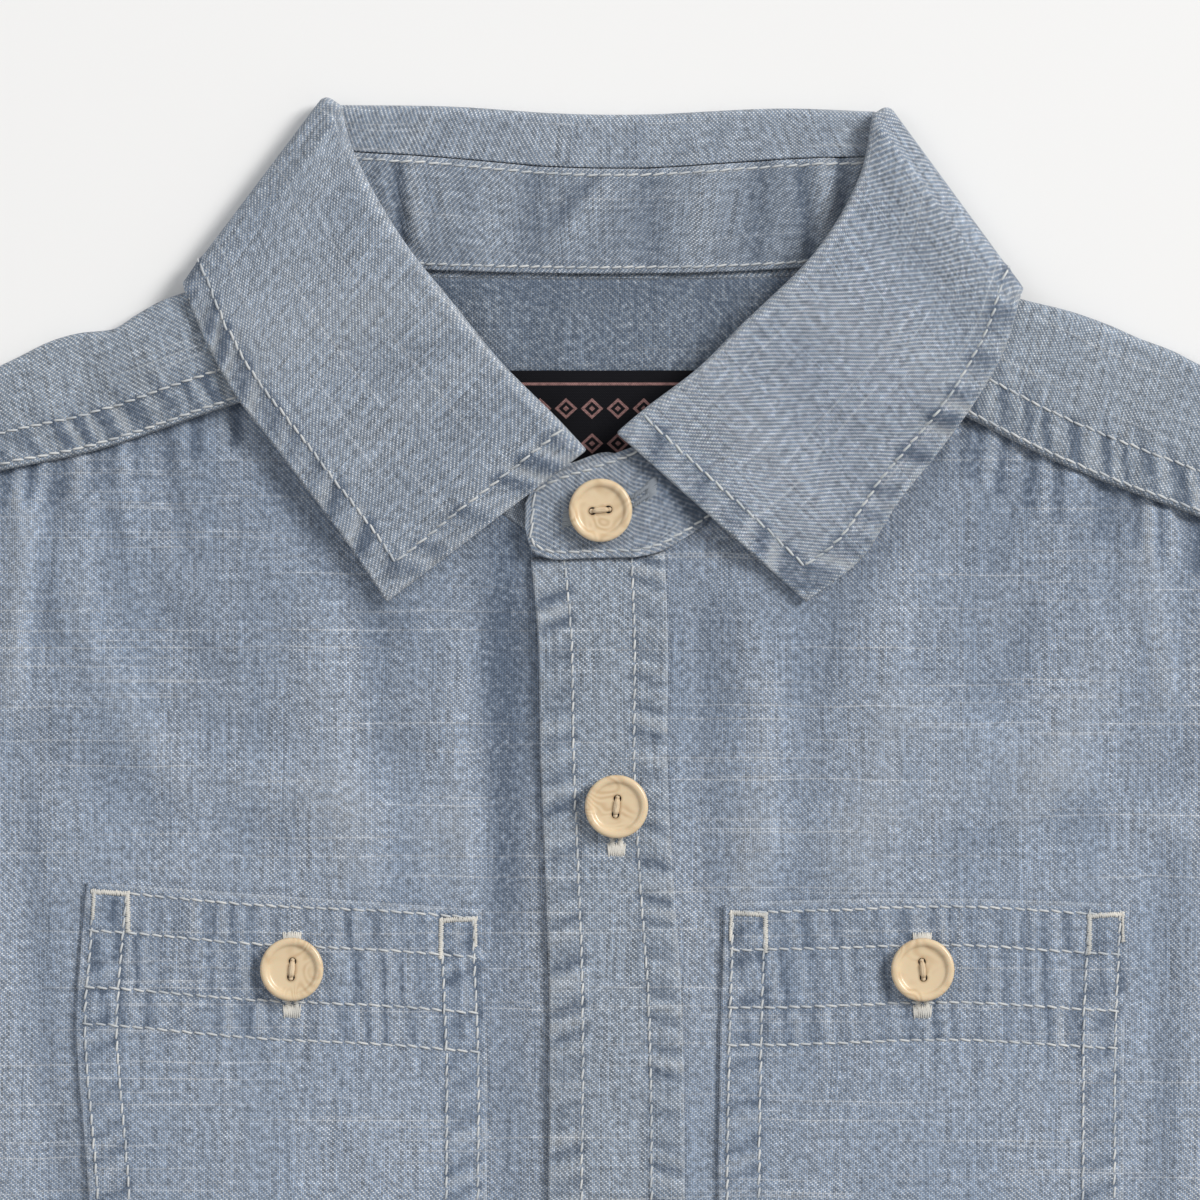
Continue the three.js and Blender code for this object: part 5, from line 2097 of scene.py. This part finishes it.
        # Painted light and shade on the leaves' folds; the pale band along the roll is wear.
        fold_light_and_shade = rise_of(folds, points[..., 0], points[..., 1])
        grid.wear_and_shade = (grid.wear_and_shade + 0.5 * fold_light_and_shade) * outer_leg[..., 0] + roll_wear
        grid.wear_and_shade = grid.wear_and_shade + (0.25 * strip - 0.1) * behind
        grid = grid.facing(True)
        wall = build_wall("Collar_fall", [grid], 1.1, COLLAR_CLOTH.material())
        declare(wall, "collar_fall")
        return wall, grid, (right, left), plain

    def turns_left(self, line: Sequence[Point]) -> bool:
        """Whether a row's outer side, with the fall's free edges, is on its left.

        Args:
            line: the row's points on the flat cloth.

        Returns:
            Whether it is on the left.
        """
        (x0, y0), (x1, y1) = line[0], line[1]
        outside = (-5.0, 0.0) if x0 < 60 else (5.0, 0.0)
        if abs(y1 - y0) < 1e-6:
            outside = (0.0, 5.0)
        return (x1 - x0) * outside[1] - (y1 - y0) * outside[0] > 0

    def stand_points(self, lines: Array) -> Array:
        """The stand's lines from the fall's seam to the neck, with its lapped ends.

        Args:
            lines: the fall's lines before their sewing.

        Returns:
            The stand's lines, from one end to the other.
        """
        seam, start = lines[:, 0], lines[:, 1]
        away = seam - start
        away /= np.linalg.norm(away, axis=1, keepdims=True)
        tops = seam + away * 0.4 * LAYERS.gap
        share = self.leaf_shares()

        def neck(side: Side) -> Array:
            """The stand's foot on one front."""
            place = smooth_line(LEAVES[side].neck, share)
            return np.column_stack([place, resting(place[:, 0], place[:, 1])])

        def turned(sign: int, before: Array, after: Array) -> Array:
            """The stand's foot where it turns round beside the neck."""
            known = np.vstack([before, np.array(self.turn_points) * [sign, 1, 1], after])
            t = np.linspace(0, 4, self.crease_lines + 2)[1:-1]
            return np.column_stack([np.interp(t, np.arange(5), known[:, k]) for k in range(3)])

        back = smooth_line(self.foot, np.linspace(0, 1, self.back_lines + 1))
        back = np.column_stack([back, LAY.back_height(back[:, 0], back[:, 1]) + 0.1])
        right, left = neck(Side.RIGHT), neck(Side.LEFT)
        bottoms = np.vstack([
            right, turned(-1, right[-1], back[0]), back,
            turned(1, left[-1], back[-1])[::-1], left[::-1],
        ])
        down = shares(24.0, 1.0)
        main = tops[:, None] + (bottoms - tops)[:, None] * down[None, :, None]
        count = len(main)

        def over_level(x: Array, y: Array) -> Array:
            """Middle of the lapped end, over the other one."""
            return placket_level(x, y) + LAYERS.on_doubled

        reach = int(len(share) * 0.3)
        for sign, level in ((1, placket_level), (-1, over_level)):
            for k in range(reach):
                row = main[k if sign > 0 else count - 1 - k]
                lap = float(1 - smoothstep(k / reach, 0.05, 1.0))
                row[:, 2] += (level(row[:, 0], row[:, 1]) - row[:, 2]) * lap
        under = self.end(
            main[0], ((1, -30.4), (7, -33.5)), ((1, -50.4), (9, -48.6)), down, placket_level, 10
        )
        over = self.end(
            main[-1], ((-3.2, -32.4), (-9.4, -34.4), (-13.9, -36.9), (-16.0, -40.6)),
            ((-4, -51.7), (-10.4, -51.9), (-14.4, -50.4), (-16.1, -45.4)), down, over_level, 20,
        )
        return np.concatenate([under[::-1], main, over])

    @staticmethod
    def end(
        row: Array, top: Sequence[Point], bottom: Sequence[Point], down: Array, level: Height,
        count: int,
    ) -> Array:
        """The rows of one end of the stand, on from its last one.

        Args:
            row: the line that the end goes on from.
            top: the next points of its top edge.
            bottom: the next points of its bottom edge.
            down: shares of the way down a line.
            level: how high it lies.
            count: the number of lines.

        Returns:
            The end's lines.
        """
        share = np.concatenate([np.linspace(0, 0.95, count)[1:], [0.975, 0.99, 1.0]])
        first = smooth_line([tuple(row[0, :2]), *top], share)
        last = smooth_line([tuple(row[-1, :2]), *bottom], share)
        return between(first, last, down, level)

    def build_stand(self, lines: Array) -> Tuple[Wall, Grid]:
        """Makes the stand. Returns its wall and its grid.

        Args:
            lines: the fall's lines before their sewing.

        Returns:
            Its wall and its grid.
        """
        points = self.stand_points(lines)
        u, v = distances(points[:, points.shape[1] // 2]), distances_across(points)
        cloth = np.dstack([np.repeat(u[:, None], points.shape[1], axis=1), v])
        grid = Grid(points, cloth)
        normals = grid_normals(grid)
        x, y = points[..., 0], points[..., 1]
        behind = (1 - smoothstep(np.abs(x), 46.0, 52.0)) * smoothstep(y, 2.0, 6.0)
        inside = np.where(y > 0, 1.0, 0.0) * behind
        tucks = rise_of(self.stand_folds(), x, y)
        grid.points = grid.points + np.array([0, 0, 1.0]) * (1.5 * tucks * inside)[..., None]
        # Painted shade inside the neck, with painted light and shade on the tucks.
        grid.wear_and_shade = grid.wear_and_shade + inside * (tucks * 1.6 - 0.48)
        along = ripple(u, 7.5, 91)[:, None]
        rim = np.exp(-(v / 3.0) ** 2) + 0.7 * np.exp(-((v[:, -1:] - v) / 3.0) ** 2)
        grid.points = grid.points + normals * (0.12 * along * rim)[..., None]
        # Paler and darker along the edges' puckers: partly wear, partly painted light and shade.
        grid.wear_and_shade = grid.wear_and_shade + 0.35 * along * rim
        grid.wear_and_shade = grid.wear_and_shade + 0.55 * np.exp(-(grid.rim_distance() / 0.8) ** 2)
        # Painted shadow of the left leaf on the stand, and painted shade on both ends under the
        # leaves.
        leaf_shadow = Fold((5, -28), (24, -47), 4.2, -1.2).rise(x, y) * smoothstep(-y, 26.0, 30.0)
        grid.wear_and_shade = grid.wear_and_shade + leaf_shadow - 0.3 * smoothstep(-y, 30.0, 42.0)
        grid = grid.facing(True, (0.99, 0.5))
        wall = build_wall("Collar_stand", [grid], 1.05, STAND_CLOTH.material())
        declare(wall, "collar_stand")
        return wall, grid

    @staticmethod
    def stand_folds() -> Tuple[Fold, ...]:
        """Puckers inside the stand behind the neck.

        Returns:
            The folds.
        """
        return (
            Fold((-41.5, 26), (-40.5, 12), 1.3, -0.7), Fold((-39.2, 27), (-38, 14), 1.8, 0.5),
            Fold((-33, 26), (-31, 16), 2.2, 0.3), Fold((-3, 23), (-9.5, 17), 1.6, -0.45),
            Fold((-1, 22), (-6, 14), 2.4, 0.35), Fold((39, 26), (41, 10), 1.5, -0.5),
            Fold((43.5, 27), (44.5, 12), 1.8, 0.45), Fold((47.5, 28), (48, 14), 1.5, -0.5),
            Fold((21, 26), (18, 10), 4.0, 0.3), Fold((-22, 27), (-24, 9), 4.0, 0.3),
            Fold((8, 25), (9, 8), 3.0, -0.25), Fold((31, 26), (30, 9), 2.4, -0.3),
            Fold((-14, 25), (-15, 9), 2.6, -0.25),
        )


@dataclass
class Sleeve:
    """A long sleeve lying flat, its two layers joined round both long edges."""

    side: Side
    outer: Tuple[Point, ...] = ((-150.6, -24.8), (-215, -58), (-270, -100), (-417, -247))
    inner: Tuple[Point, ...] = ((-187.6, -176.6), (-215, -200), (-252, -232), (-352, -312))
    puff: float = 1.6
    rings: int = 84
    across: int = 40

    def build(self) -> Wall:
        """Makes the sleeve with soft folds from the elbow and the cuff.

        Returns:
            Its wall.
        """
        share = np.linspace(0, 1, self.rings + 1)
        outer, inner = smooth_line(self.outer, share), smooth_line(self.inner, share)
        t = np.linspace(0, 1, self.across + 1)
        armhole = smooth_line(ARMHOLE, t) - [0.6, 0.0]
        folds = (
            Fold((-230, -78), (-262, -190), 9.0, 0.8, 3.0),
            Fold((-262, -104), (-256, -205), 8.0, -0.6, 3.0),
            Fold((-380, -285), (-300, -200), 9.0, 0.9, 2.0),
            Fold((-402, -262), (-340, -196), 8.0, 0.7, -2.0),
            Fold((-366, -298), (-310, -250), 7.0, -0.6, 2.0),
            Fold((-176, -60), (-205, -140), 10.0, 0.6, 2.0),
        )
        angle = np.radians(np.linspace(90, -90, 7)[1:-1])
        reach = (LAYERS.front - LAYERS.back) / 2
        middle = (LAYERS.front + LAYERS.back) / 2

        def turn(at: Array, way: Array, sign: int) -> Array:
            """The cloth's turn round a long edge, out from a point of it."""
            round_edge = at + way * (reach * np.cos(angle))[:, None]
            return np.column_stack([round_edge, middle + sign * reach * np.sin(angle)])

        rings = []
        for s, start, end in zip(share, outer, inner):
            blend = float(smoothstep(s, 0.0, 0.3))
            line = armhole + (start + (end - start) * t[:, None] - armhole) * blend
            outward = (start - end) / np.hypot(*(start - end))
            ends = float(smoothstep(s, 0.0, 0.22) * smoothstep(1 - s, 0.0, 0.22))
            belly = np.sin(math.pi * t)
            x, y = line[:, 0], line[:, 1]
            lift = self.puff * belly * 0.7 + rise_of(folds, x, y) * smoothstep(belly, 0.05, 0.5)
            lift = lift * ends
            uneven = (2.4 * crumple(x, y) + 0.15) * smoothstep(belly, 0.0, 0.4)
            lift = lift + uneven * ends
            upper = np.column_stack([line, LAYERS.front + np.maximum(lift, 0.0)])
            lower = np.column_stack([line, np.full(len(line), LAYERS.back)])[::-1]
            under_turn, over_turn = turn(line[-1], -outward, 1), turn(line[0], outward, -1)
            rings.append(np.vstack([upper, under_turn, lower, over_turn, upper[:1]]))
        points = mirrored(np.stack(rings), self.side)
        around, down = distances_across(points), distances(points[:, self.across // 2])
        cloth = np.dstack([around, -np.repeat(down[:, None], points.shape[1], axis=1)])
        grid = Grid(points, cloth, (True, True, False, False)).facing(True, (0.5, 0.1))
        wall = build_wall(f"Sleeve_{self.side.word}", [grid], LAYERS.panel, BODY_CLOTH.material())
        declare(wall, f"sleeve_{self.side.word}")
        return wall


@dataclass
class Cuff:
    """A cuff lying flat: a band round the wrist with its ends lapped on top."""

    side: Side
    outer: Point = (-417, -247)
    inner: Point = (-352, -312)
    depth: float = 50.0
    lap: float = 14.0
    lap_from_edge: float = 26.0
    rows_inside: Tuple[float, float] = (1.6, 6.5)
    pitch: float = 3.2

    def frame(self) -> Tuple[Array, Array, Array, float]:
        """The outer corner, the way across, the way down the arm and the width."""
        start = np.array(self.outer, float)
        across = np.subtract(self.inner, self.outer).astype(float)
        width = float(np.hypot(*across))
        across /= width
        return start, across, np.array([across[1], -across[0]]), width

    def build(self) -> Tuple[Wall, Grid]:
        """Makes the cuff.

        Returns:
            Its wall and its grid.
        """
        start, across, along, width = self.frame()
        upper = LAYERS.doubled * 1.5 + LAYERS.gap
        top = upper + LAYERS.on_doubled
        low = LAYERS.doubled / 2
        middle, reach = (low + upper) / 2, (upper - low) / 2
        lap = self.lap_from_edge + self.lap
        angle = np.radians(np.linspace(90, -90, 7))[1:-1]
        outer_fold = np.column_stack([-reach * np.cos(angle), middle + reach * np.sin(angle)])
        bend = reach * np.cos(angle)
        inner_fold = np.column_stack([width + bend, middle - reach * np.sin(angle)])

        def run(start_at: float, end_at: float, level: float) -> Array:
            """A level stretch of the cuff's section."""
            count = max(int(abs(end_at - start_at) / 1.6), 2)
            return np.column_stack([np.linspace(start_at, end_at, count), np.full(count, level)])

        half_way = (upper + top) / 2 + 0.3
        rise = np.array([
            [lap + 9, upper + 0.05], [lap + 7, upper + 0.3], [lap + 5, half_way],
            [lap + 2.5, top - 0.15],
        ])
        section = np.vstack([
            run(lap, 0.0, upper), outer_fold, run(0.0, width, low), inner_fold,
            run(width, lap + 12, upper), rise, run(lap - 1, self.lap_from_edge, top),
        ])
        length = self.depth - LAYERS.doubled
        down = LAYERS.doubled / 2 + LAYERS.gap + shares(length, 1.8) * length
        place = start + across * section[:, None, 0:1] + along * down[None, :, None]
        points = np.dstack([place, np.repeat(section[:, 1:2], len(down), axis=1)])
        points = mirrored(points.transpose(1, 0, 2), self.side)
        around = distances(section)
        cloth = np.dstack(np.meshgrid(around, -down))
        grid = Grid(points, cloth).facing(True, (0.5, 0.99))
        end = float(around[-1])
        line = tuple((u, -self.depth + self.rows_inside[1]) for u in np.linspace(2, end - 2, 30))
        grid = sewn(grid, [Seam(line, 0.15, 0.1, (-6.0, 6.0), 7.0, 0.5, 0.4, 12)], 0.7)
        wall = build_wall(f"Cuff_{self.side.word}", [grid], 1.1, BAND_CLOTH.material())
        declare(wall, f"cuff_{self.side.word}")
        return wall, grid


@dataclass
class Button:
    """A pale horn button with a raised rim, a dished face and two holes, sewn on."""

    profile: Tuple[Point, ...] = (
        (0.0, 0.0), (3.8, 0.0), (5.2, 0.35), (6.0, 1.0), (6.33, 1.7), (6.3, 2.15), (6.05, 2.48),
        (5.65, 2.6), (5.2, 2.52), (4.85, 2.28), (4.6, 2.0), (4.2, 1.86), (3.0, 1.78),
        (1.4, 1.74), (0.0, 1.72),
    )
    hole_radius: float = 0.78
    hole_spread: float = 1.6
    segments: int = 64
    drill_sides: int = 24
    sharp: float = 50.0
    strand_radius: float = 0.25
    plug_radius: float = 0.5
    spin: float = 2.4

    @staticmethod
    def turned_by(angle: float) -> Array:
        """The matrix of a turn about the button's middle."""
        return np.array([[math.cos(angle), -math.sin(angle)], [math.sin(angle), math.cos(angle)]])

    def __post_init__(self) -> None:
        """Makes the drilled disc that each button is a copy of."""
        turned = smooth_line(self.profile[1:-1], np.linspace(0, 1, 44))
        angle = np.arange(self.segments) * 2 * math.pi / self.segments
        radii, heights = turned[:, 0], np.repeat(turned[:, 1:], self.segments, 1)
        rings = [np.outer(radii, np.cos(angle)), np.outer(radii, np.sin(angle)), heights]
        points = np.stack(rings, axis=-1).reshape(-1, 3) * MM
        index = np.arange(len(points)).reshape(len(turned), self.segments)
        around = np.roll(index, -1, 1)
        quads = np.stack([index[:-1], index[1:], around[1:], around[:-1]], axis=-1)
        faces = quads.reshape(-1, 4)[:, ::-1].tolist()
        faces += [index[0, ::-1].tolist(), index[-1].tolist()]
        disc = plain_object("Button disc", points.tolist(), faces)
        drills = [self.drill(way) for way in (-1, 1)]
        for drill in drills:
            cut = disc.modifiers.new("Hole", "BOOLEAN")
            cut.object, cut.operation, cut.solver = drill, "DIFFERENCE", "EXACT"
        graph = bpy.context.evaluated_depsgraph_get()
        self.mesh = bpy.data.meshes.new_from_object(disc.evaluated_get(graph))
        for spare in (disc, *drills):
            bpy.data.objects.remove(spare, do_unlink=True)

    def drill(self, way: int) -> bpy.types.Object:
        """The rod that one hole is cut with.

        Args:
            way: which side of the middle it is on.

        Returns:
            The rod.
        """
        sides = self.drill_sides
        angle = np.arange(sides) * 2 * math.pi / sides
        x = way * self.hole_spread + self.hole_radius * np.cos(angle)
        ring = np.column_stack([x, self.hole_radius * np.sin(angle)])
        points = np.vstack([np.column_stack([ring, np.full(sides, z)]) for z in (-1.0, 4.0)])
        faces = [[k, (k + 1) % sides, sides + (k + 1) % sides, sides + k] for k in range(sides)]
        faces += [list(range(sides))[::-1], list(range(sides, 2 * sides))]
        return plain_object("Drill", (points * MM).tolist(), faces)

    def place(self, node: str, number: int, turn: float, thread: Sewing) -> None:
        """Puts a button where its solid is, and sews it on.

        Args:
            node: the name of its solid.
            number: which button it is, which sets its grain.
            turn: the angle of the line through its holes.
            thread: the piece that takes its thread.
        """
        low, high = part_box(node)
        middle = np.array([(low.x + high.x) / 2, (low.y + high.y) / 2, low.z])
        mesh = self.mesh.copy()
        count = len(mesh.vertices)
        local = np.empty(count * 3)
        mesh.vertices.foreach_get("co", local)
        local = local.reshape(-1, 3)
        rotation = self.turned_by(turn)
        world = np.column_stack([local[:, :2] @ rotation.T, local[:, 2]]) + middle
        mesh.vertices.foreach_set("co", world.ravel())
        mesh.polygons.foreach_set("use_smooth", np.ones(len(mesh.polygons), bool))
        mesh.set_sharp_from_angle(angle=math.radians(self.sharp))
        corners = np.empty(len(mesh.loops), int)
        mesh.loops.foreach_get("vertex_index", corners)
        grain = local[:, :2] / MM @ self.turned_by(number * self.spin)
        grain = grain + [number * 37.0, number * 11.0]
        chart = mesh.uv_layers.new(name="Cloth")
        chart.data.foreach_set("uv", (grain[corners] / UV_SPAN).astype(np.float32).ravel())
        x, y = local[:, 0] / MM, local[:, 1] / MM
        off = np.minimum(*[np.hypot(x - way * self.hole_spread, y) for way in (-1, 1)])
        # Painted shade round the holes, for the horn's finish.
        hole_shade = np.clip(1.0 - (off - self.hole_radius * 0.9) / 0.5, 0.0, 1.0)
        attribute = mesh.attributes.new("wear_and_shade", "FLOAT", "POINT")
        attribute.data.foreach_set("value", hole_shade.astype(np.float32))
        mesh.materials.clear()
        mesh.materials.append(Horn().material())
        mesh.update()
        piece = bpy.data.objects.new(node.capitalize(), mesh)
        bpy.context.scene.collection.objects.link(piece)
        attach(piece, "root")
        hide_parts(node)
        self.sew_on(middle / MM - [0.0, ORIGIN_Y / MM, 0.0], rotation, thread)

    def sew_on(self, middle: Array, rotation: Array, thread: Sewing) -> None:
        """Adds the thread through a button's holes.

        Args:
            middle: the middle of its underside on the shirt.
            rotation: the turn of its holes.
            thread: the piece that takes its thread.
        """
        share = np.linspace(-1, 1, 9)
        rng = np.random.default_rng(int(abs(middle[1]) * 10))
        for k, shift in enumerate((-0.34, -0.1, 0.14, 0.36)):
            x = share * (self.hole_spread + 0.1 * rng.uniform(-1, 1))
            y = shift * (1.0 - 0.35 * np.abs(share)) + rng.uniform(-0.06, 0.06)
            z = 1.95 + 0.16 * (k in (1, 2)) - 1.4 * np.clip(np.abs(share) - 0.72, 0, 1) * 3.2
            path = np.column_stack([np.column_stack([x, y]) @ rotation.T, z]) + middle
            thread.strand(path, self.strand_radius)
        for way in (-1, 1):
            into = np.array([[2.05, -0.12, 0.5], [1.95, -0.05, 1.0], [1.75, 0.05, 1.55]])
            into[:, 0] *= way
            path = np.column_stack([into[:, :2] @ rotation.T, into[:, 2]]) + middle
            thread.strand(path, self.plug_radius)


# --- The shirt and the studio ---------------------------------------------------------


@dataclass
class Shirt:
    """The whole shirt: its pieces in the order they lie, and then its sewing and buttons."""

    placket_button_x: float = 2.3
    placket_first: float = -101.3
    placket_pitch: float = 87.0
    placket_count: int = 5
    pocket_buttons: Dict[Side, Point] = field(
        default_factory=lambda: {Side.RIGHT: (-62.6, -133.8), Side.LEFT: (63.5, -133.9)}
    )
    left_neck: Tuple[Point, ...] = (
        (52.6, -7.2), (35.8, -28.2), (21.4, -42.2), (13.6, -47.2), (9, -49.8),
    )

    def build(self) -> None:
        """Builds and sews everything."""
        topstitch, bars = Sewing("Topstitching"), Sewing("Bartacks_and_buttonholes")
        BackPanel().build()
        for side in Side:
            Sleeve(side).build()
            front = Front(side)
            if side is Side.LEFT:
                front = Front(side, neck=self.left_neck, centre=9.0)
            wall, grid = front.build()
            topstitch.row(Face(wall, grid.cloth), front.hem_row(), pitch=3.4)
        self.sew_yoke(topstitch)
        Label().build()
        self.sew_placket(topstitch, bars)
        for side in Side:
            self.sew_pocket(side, topstitch, bars)
            self.sew_cuff(side, topstitch)
        # The stand's buttonhole gets the thread darkened as painted shade.
        shaded_buttonhole = Sewing("Collar_buttonhole")
        self.sew_collar(topstitch, shaded_buttonhole)
        button, thread = Button(), Sewing("Button_thread")
        button.place("button_stand", 1, 0.1, thread)
        for k in range(self.placket_count):
            turn = math.pi / 2 + 0.12 * (k % 3 - 1)
            button.place(f"button_placket_{k + 1}", 2 + k, turn, thread)
        for k, side in enumerate(Side):
            turn = math.pi / 2 - 0.1 + 0.2 * k
            button.place(f"button_pocket_{side.word}", 8 + k, turn, thread)
            button.place(f"button_cuff_{side.word}", 10 + k, side.value * math.pi / 4, thread)
        LOG.info("buttons: %d faces each", len(button.mesh.polygons))
        sewing = (topstitch, bars, shaded_buttonhole, thread)
        finishes = (TOPSTITCH, BAR_THREAD, SHADED_THREAD, BUTTON_THREAD)
        for work, finish in zip(sewing, finishes):
            piece = work.finish(finish)
            LOG.info("%s: %d faces", piece.name, len(piece.data.polygons))

    @staticmethod
    def sew_yoke(topstitch: Sewing) -> None:
        """Builds the yoke and topstitches its front edges.

        Args:
            topstitch: the piece that takes its topstitching.
        """
        yoke = Yoke()
        wall, strips = yoke.build()
        for side, (index, grid) in strips.items():
            face = Face(wall, grid.cloth, index)
            for row in yoke.rows_of(side, grid):
                topstitch.row(face, row)

    def sew_placket(self, topstitch: Sewing, bars: Sewing) -> None:
        """Builds the placket, topstitches it and works its buttonholes.

        Args:
            topstitch: the piece that takes its topstitching.
            bars: the piece that takes its bartacks and buttonholes.
        """
        wall, grid, rows = Placket().build()
        face = Face(wall, grid.cloth)
        for row in rows:
            topstitch.row(face, row)
        for k in range(self.placket_count):
            y = self.placket_first - k * self.placket_pitch
            x = self.placket_button_x
            bars.buttonhole(face, (x, y + 4.2), (x, y - 8.2))

    def sew_pocket(self, side: Side, topstitch: Sewing, bars: Sewing) -> None:
        """Builds a pocket, topstitches it and adds its bartacks and buttonhole.

        Args:
            side: the wearer's side.
            topstitch: the piece that takes its topstitching.
            bars: the piece that takes its bartacks and buttonholes.
        """
        pocket = Pocket(side) if side is Side.RIGHT else Pocket(
            side,
            ((105.2, -121), (104.4, -136), (104, -150), (103.8, -180), (103.4, -214)),
            ((23.9, -120.7), (23.4, -136), (23, -150), (22.6, -180), (22.8, -214)), 1.2,
        )
        wall, grid = pocket.build()
        face = Face(wall, grid.cloth)
        for row in (*pocket.rows(), *pocket.sides()):
            topstitch.row(face, row)
        for k, ((x, y), way) in enumerate(pocket.corners()):
            bars.bar(face, (x + way * 0.9, y - 1.9), (x + way * 8.6, y - 2.3), 1.1, 20 + k)
            bars.bar(face, (x + way * 8.2, y - 1.8), (x + way * 8.3, y - 10.0), 1.0, 30 + k)
            bars.bar(face, (x + way * 1.5, y - 1.8), (x + way * 1.3, y - 7.5), 0.7, 40 + k)
        x, y = self.pocket_buttons[side]
        bars.buttonhole(face, (x, y + 5.6), (x, y - 8.0))

    @staticmethod
    def sew_cuff(side: Side, topstitch: Sewing) -> None:
        """Builds a cuff and topstitches its edges.

        Args:
            side: the wearer's side.
            topstitch: the piece that takes its topstitching.
        """
        cuff = Cuff(side)
        wall, grid = cuff.build()
        face = Face(wall, grid.cloth)
        end = float(np.abs(grid.cloth[..., 0]).max())
        low, high = float(grid.cloth[..., 1].min()), float(grid.cloth[..., 1].max())
        inset = cuff.rows_inside
        for v in (low + inset[0], low + inset[1], high - inset[0]):
            topstitch.row(face, ((2.0, v), (end - 2.0, v)), pitch=cuff.pitch)

    @staticmethod
    def sew_collar(topstitch: Sewing, shaded_buttonhole: Sewing) -> None:
        """Builds the fall and the stand, and topstitches both.

        Args:
            topstitch: the piece that takes its topstitching.
            shaded_buttonhole: the piece that takes the stand's buttonhole, in thread darkened as
                painted shade.
        """
        collar = Collar()
        fall, fall_grid, leaf_rows, lines = collar.build_fall()
        face = Face(fall, fall_grid.cloth)
        for row in leaf_rows:
            for start, end in zip(row, row[1:]):
                topstitch.row(face, (start, end))
        stand, grid = collar.build_stand(lines)
        u, v = grid.cloth[..., 0], grid.cloth[..., 1]
        x, y = grid.points[..., 0], grid.points[..., 1]
        outer, inner = Face(stand, grid.cloth), Face(stand, grid.cloth, inside=True)
        behind = (y.mean(axis=1) > 8) & (np.abs(x).mean(axis=1) < 50)
        low, high = u[behind, 0].min(), u[behind, 0].max()
        places = np.linspace(low + 1, high - 1, 60)
        order = np.argsort(u[:, 0])
        depth = np.interp(places, u[order, 0], v.max(axis=1)[order])
        topstitch.row(inner, np.column_stack([places, np.full(60, 1.3)]))
        topstitch.row(inner, np.column_stack([places, depth - 1.3]))
        total = float(u.max())
        at_end = abs(x[np.argmax(u[:, 0])].mean() + 15) < 3
        ends = (total - 52.0, total) if at_end else (0.0, 52.0)
        places = np.linspace(ends[0] + 1.5, ends[1] - 1.5, 40)
        depth = np.interp(places, u[order, 0], v.max(axis=1)[order])
        topstitch.row(outer, np.column_stack([places, depth - 1.5]))
        topstitch.row(outer, np.column_stack([places, np.full(40, 1.5)]))
        last, deep = (places[-1], depth[-1]) if at_end else (places[0], depth[0])
        topstitch.row(outer, ((last, 1.6), (last, deep - 1.6)))
        lapped = u > total / 2 if at_end else u < total / 2

        def on_end(place: Point) -> Point:
            """The place on the flat cloth of a point on the lapped end."""
            away = np.hypot(x - place[0], y - place[1]) + 99.0 * ~lapped
            i, j = np.unravel_index(np.argmin(away), away.shape)
            return float(u[i, j]), float(v[i, j])

        shaded_buttonhole.buttonhole(outer, on_end((-7.0, -43.4)), on_end((9.0, -37.6)))


@dataclass(frozen=True)
class Lamp:
    """A large soft lamp over the table.

    Attributes:
        place: where it hangs, in metres from the middle of the view.
        size: its width and length in metres.
        watts: its power.
        colour: the colour of its light.
    """

    name: str
    place: Tuple[float, float, float]
    size: Point
    watts: float
    colour: Colour = (1.0, 1.0, 1.0)

    def hang(self, target: Vector) -> None:
        """Adds the lamp, facing its target.

        Args:
            target: the place it faces.
        """
        light = bpy.data.lights.new(self.name, "AREA")
        light.shape, light.energy, light.color = "RECTANGLE", self.watts, self.colour
        light.size, light.size_y = self.size
        lamp = bpy.data.objects.new(self.name, light)
        lamp.location = target + Vector(self.place)
        lamp.rotation_euler = (target - lamp.location).to_track_quat("-Z", "Y").to_euler()
        lamp.visible_camera = False
        bpy.context.scene.collection.objects.link(lamp)


@dataclass
class Studio:
    """The table, its soft light and the camera straight over the collar."""

    middle: Point = (-1.0, -60.0)
    frame_width: float = 240.0
    camera_height: float = 1.6
    collar_height: float = 0.006
    sensor: float = 36.0
    table_reach: float = 12.0
    world: float = 0.42
    lamps: Tuple[Lamp, ...] = (
        Lamp("Key lamp", (4.05, 2.4, 3.75), (1.95, 1.95), 315.0, (1.0, 0.985, 0.96)),
        Lamp("Fill lamp", (-3.6, 1.5, 4.5), (4.2, 4.2), 54.0, (0.96, 0.98, 1.0)),
    )

    def build(self) -> None:
        """Makes the table, the light and the camera."""
        scene = bpy.context.scene
        scene.view_settings.view_transform = "Standard"
        reach = self.table_reach
        corners = [(-reach, -reach, 0), (reach, -reach, 0), (reach, reach, 0), (-reach, reach, 0)]
        table = plain_object("Table", corners, [(0, 1, 2, 3)])
        table.data.materials.append(Paper().material())
        world = bpy.data.worlds.new("Soft room")
        world.use_nodes = True
        background = world.node_tree.nodes["Background"]
        background.inputs["Color"].default_value = (1.0, 1.0, 1.0, 1.0)
        background.inputs["Strength"].default_value = self.world
        scene.world = world
        target = Vector(row_place(np.array([*self.middle, 0.0])))
        for lamp in self.lamps:
            lamp.hang(target)
        camera = bpy.data.cameras.new("Camera")
        camera.sensor_width = self.sensor
        distance = self.camera_height - self.collar_height
        camera.lens = self.sensor * distance / (self.frame_width * MM)
        camera.clip_start, camera.clip_end = 0.1, 60.0
        eye = bpy.data.objects.new("Camera", camera)
        eye.location = target + Vector((0.0, 0.0, self.camera_height))
        scene.collection.objects.link(eye)
        scene.camera = eye


def main() -> None:
    """Builds the shirt and the studio."""
    logging.basicConfig(level=logging.INFO, format="%(name)s: %(message)s")
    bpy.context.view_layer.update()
    Shirt().build()
    Studio().build()
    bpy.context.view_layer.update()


if __name__ == "__main__":
    main()
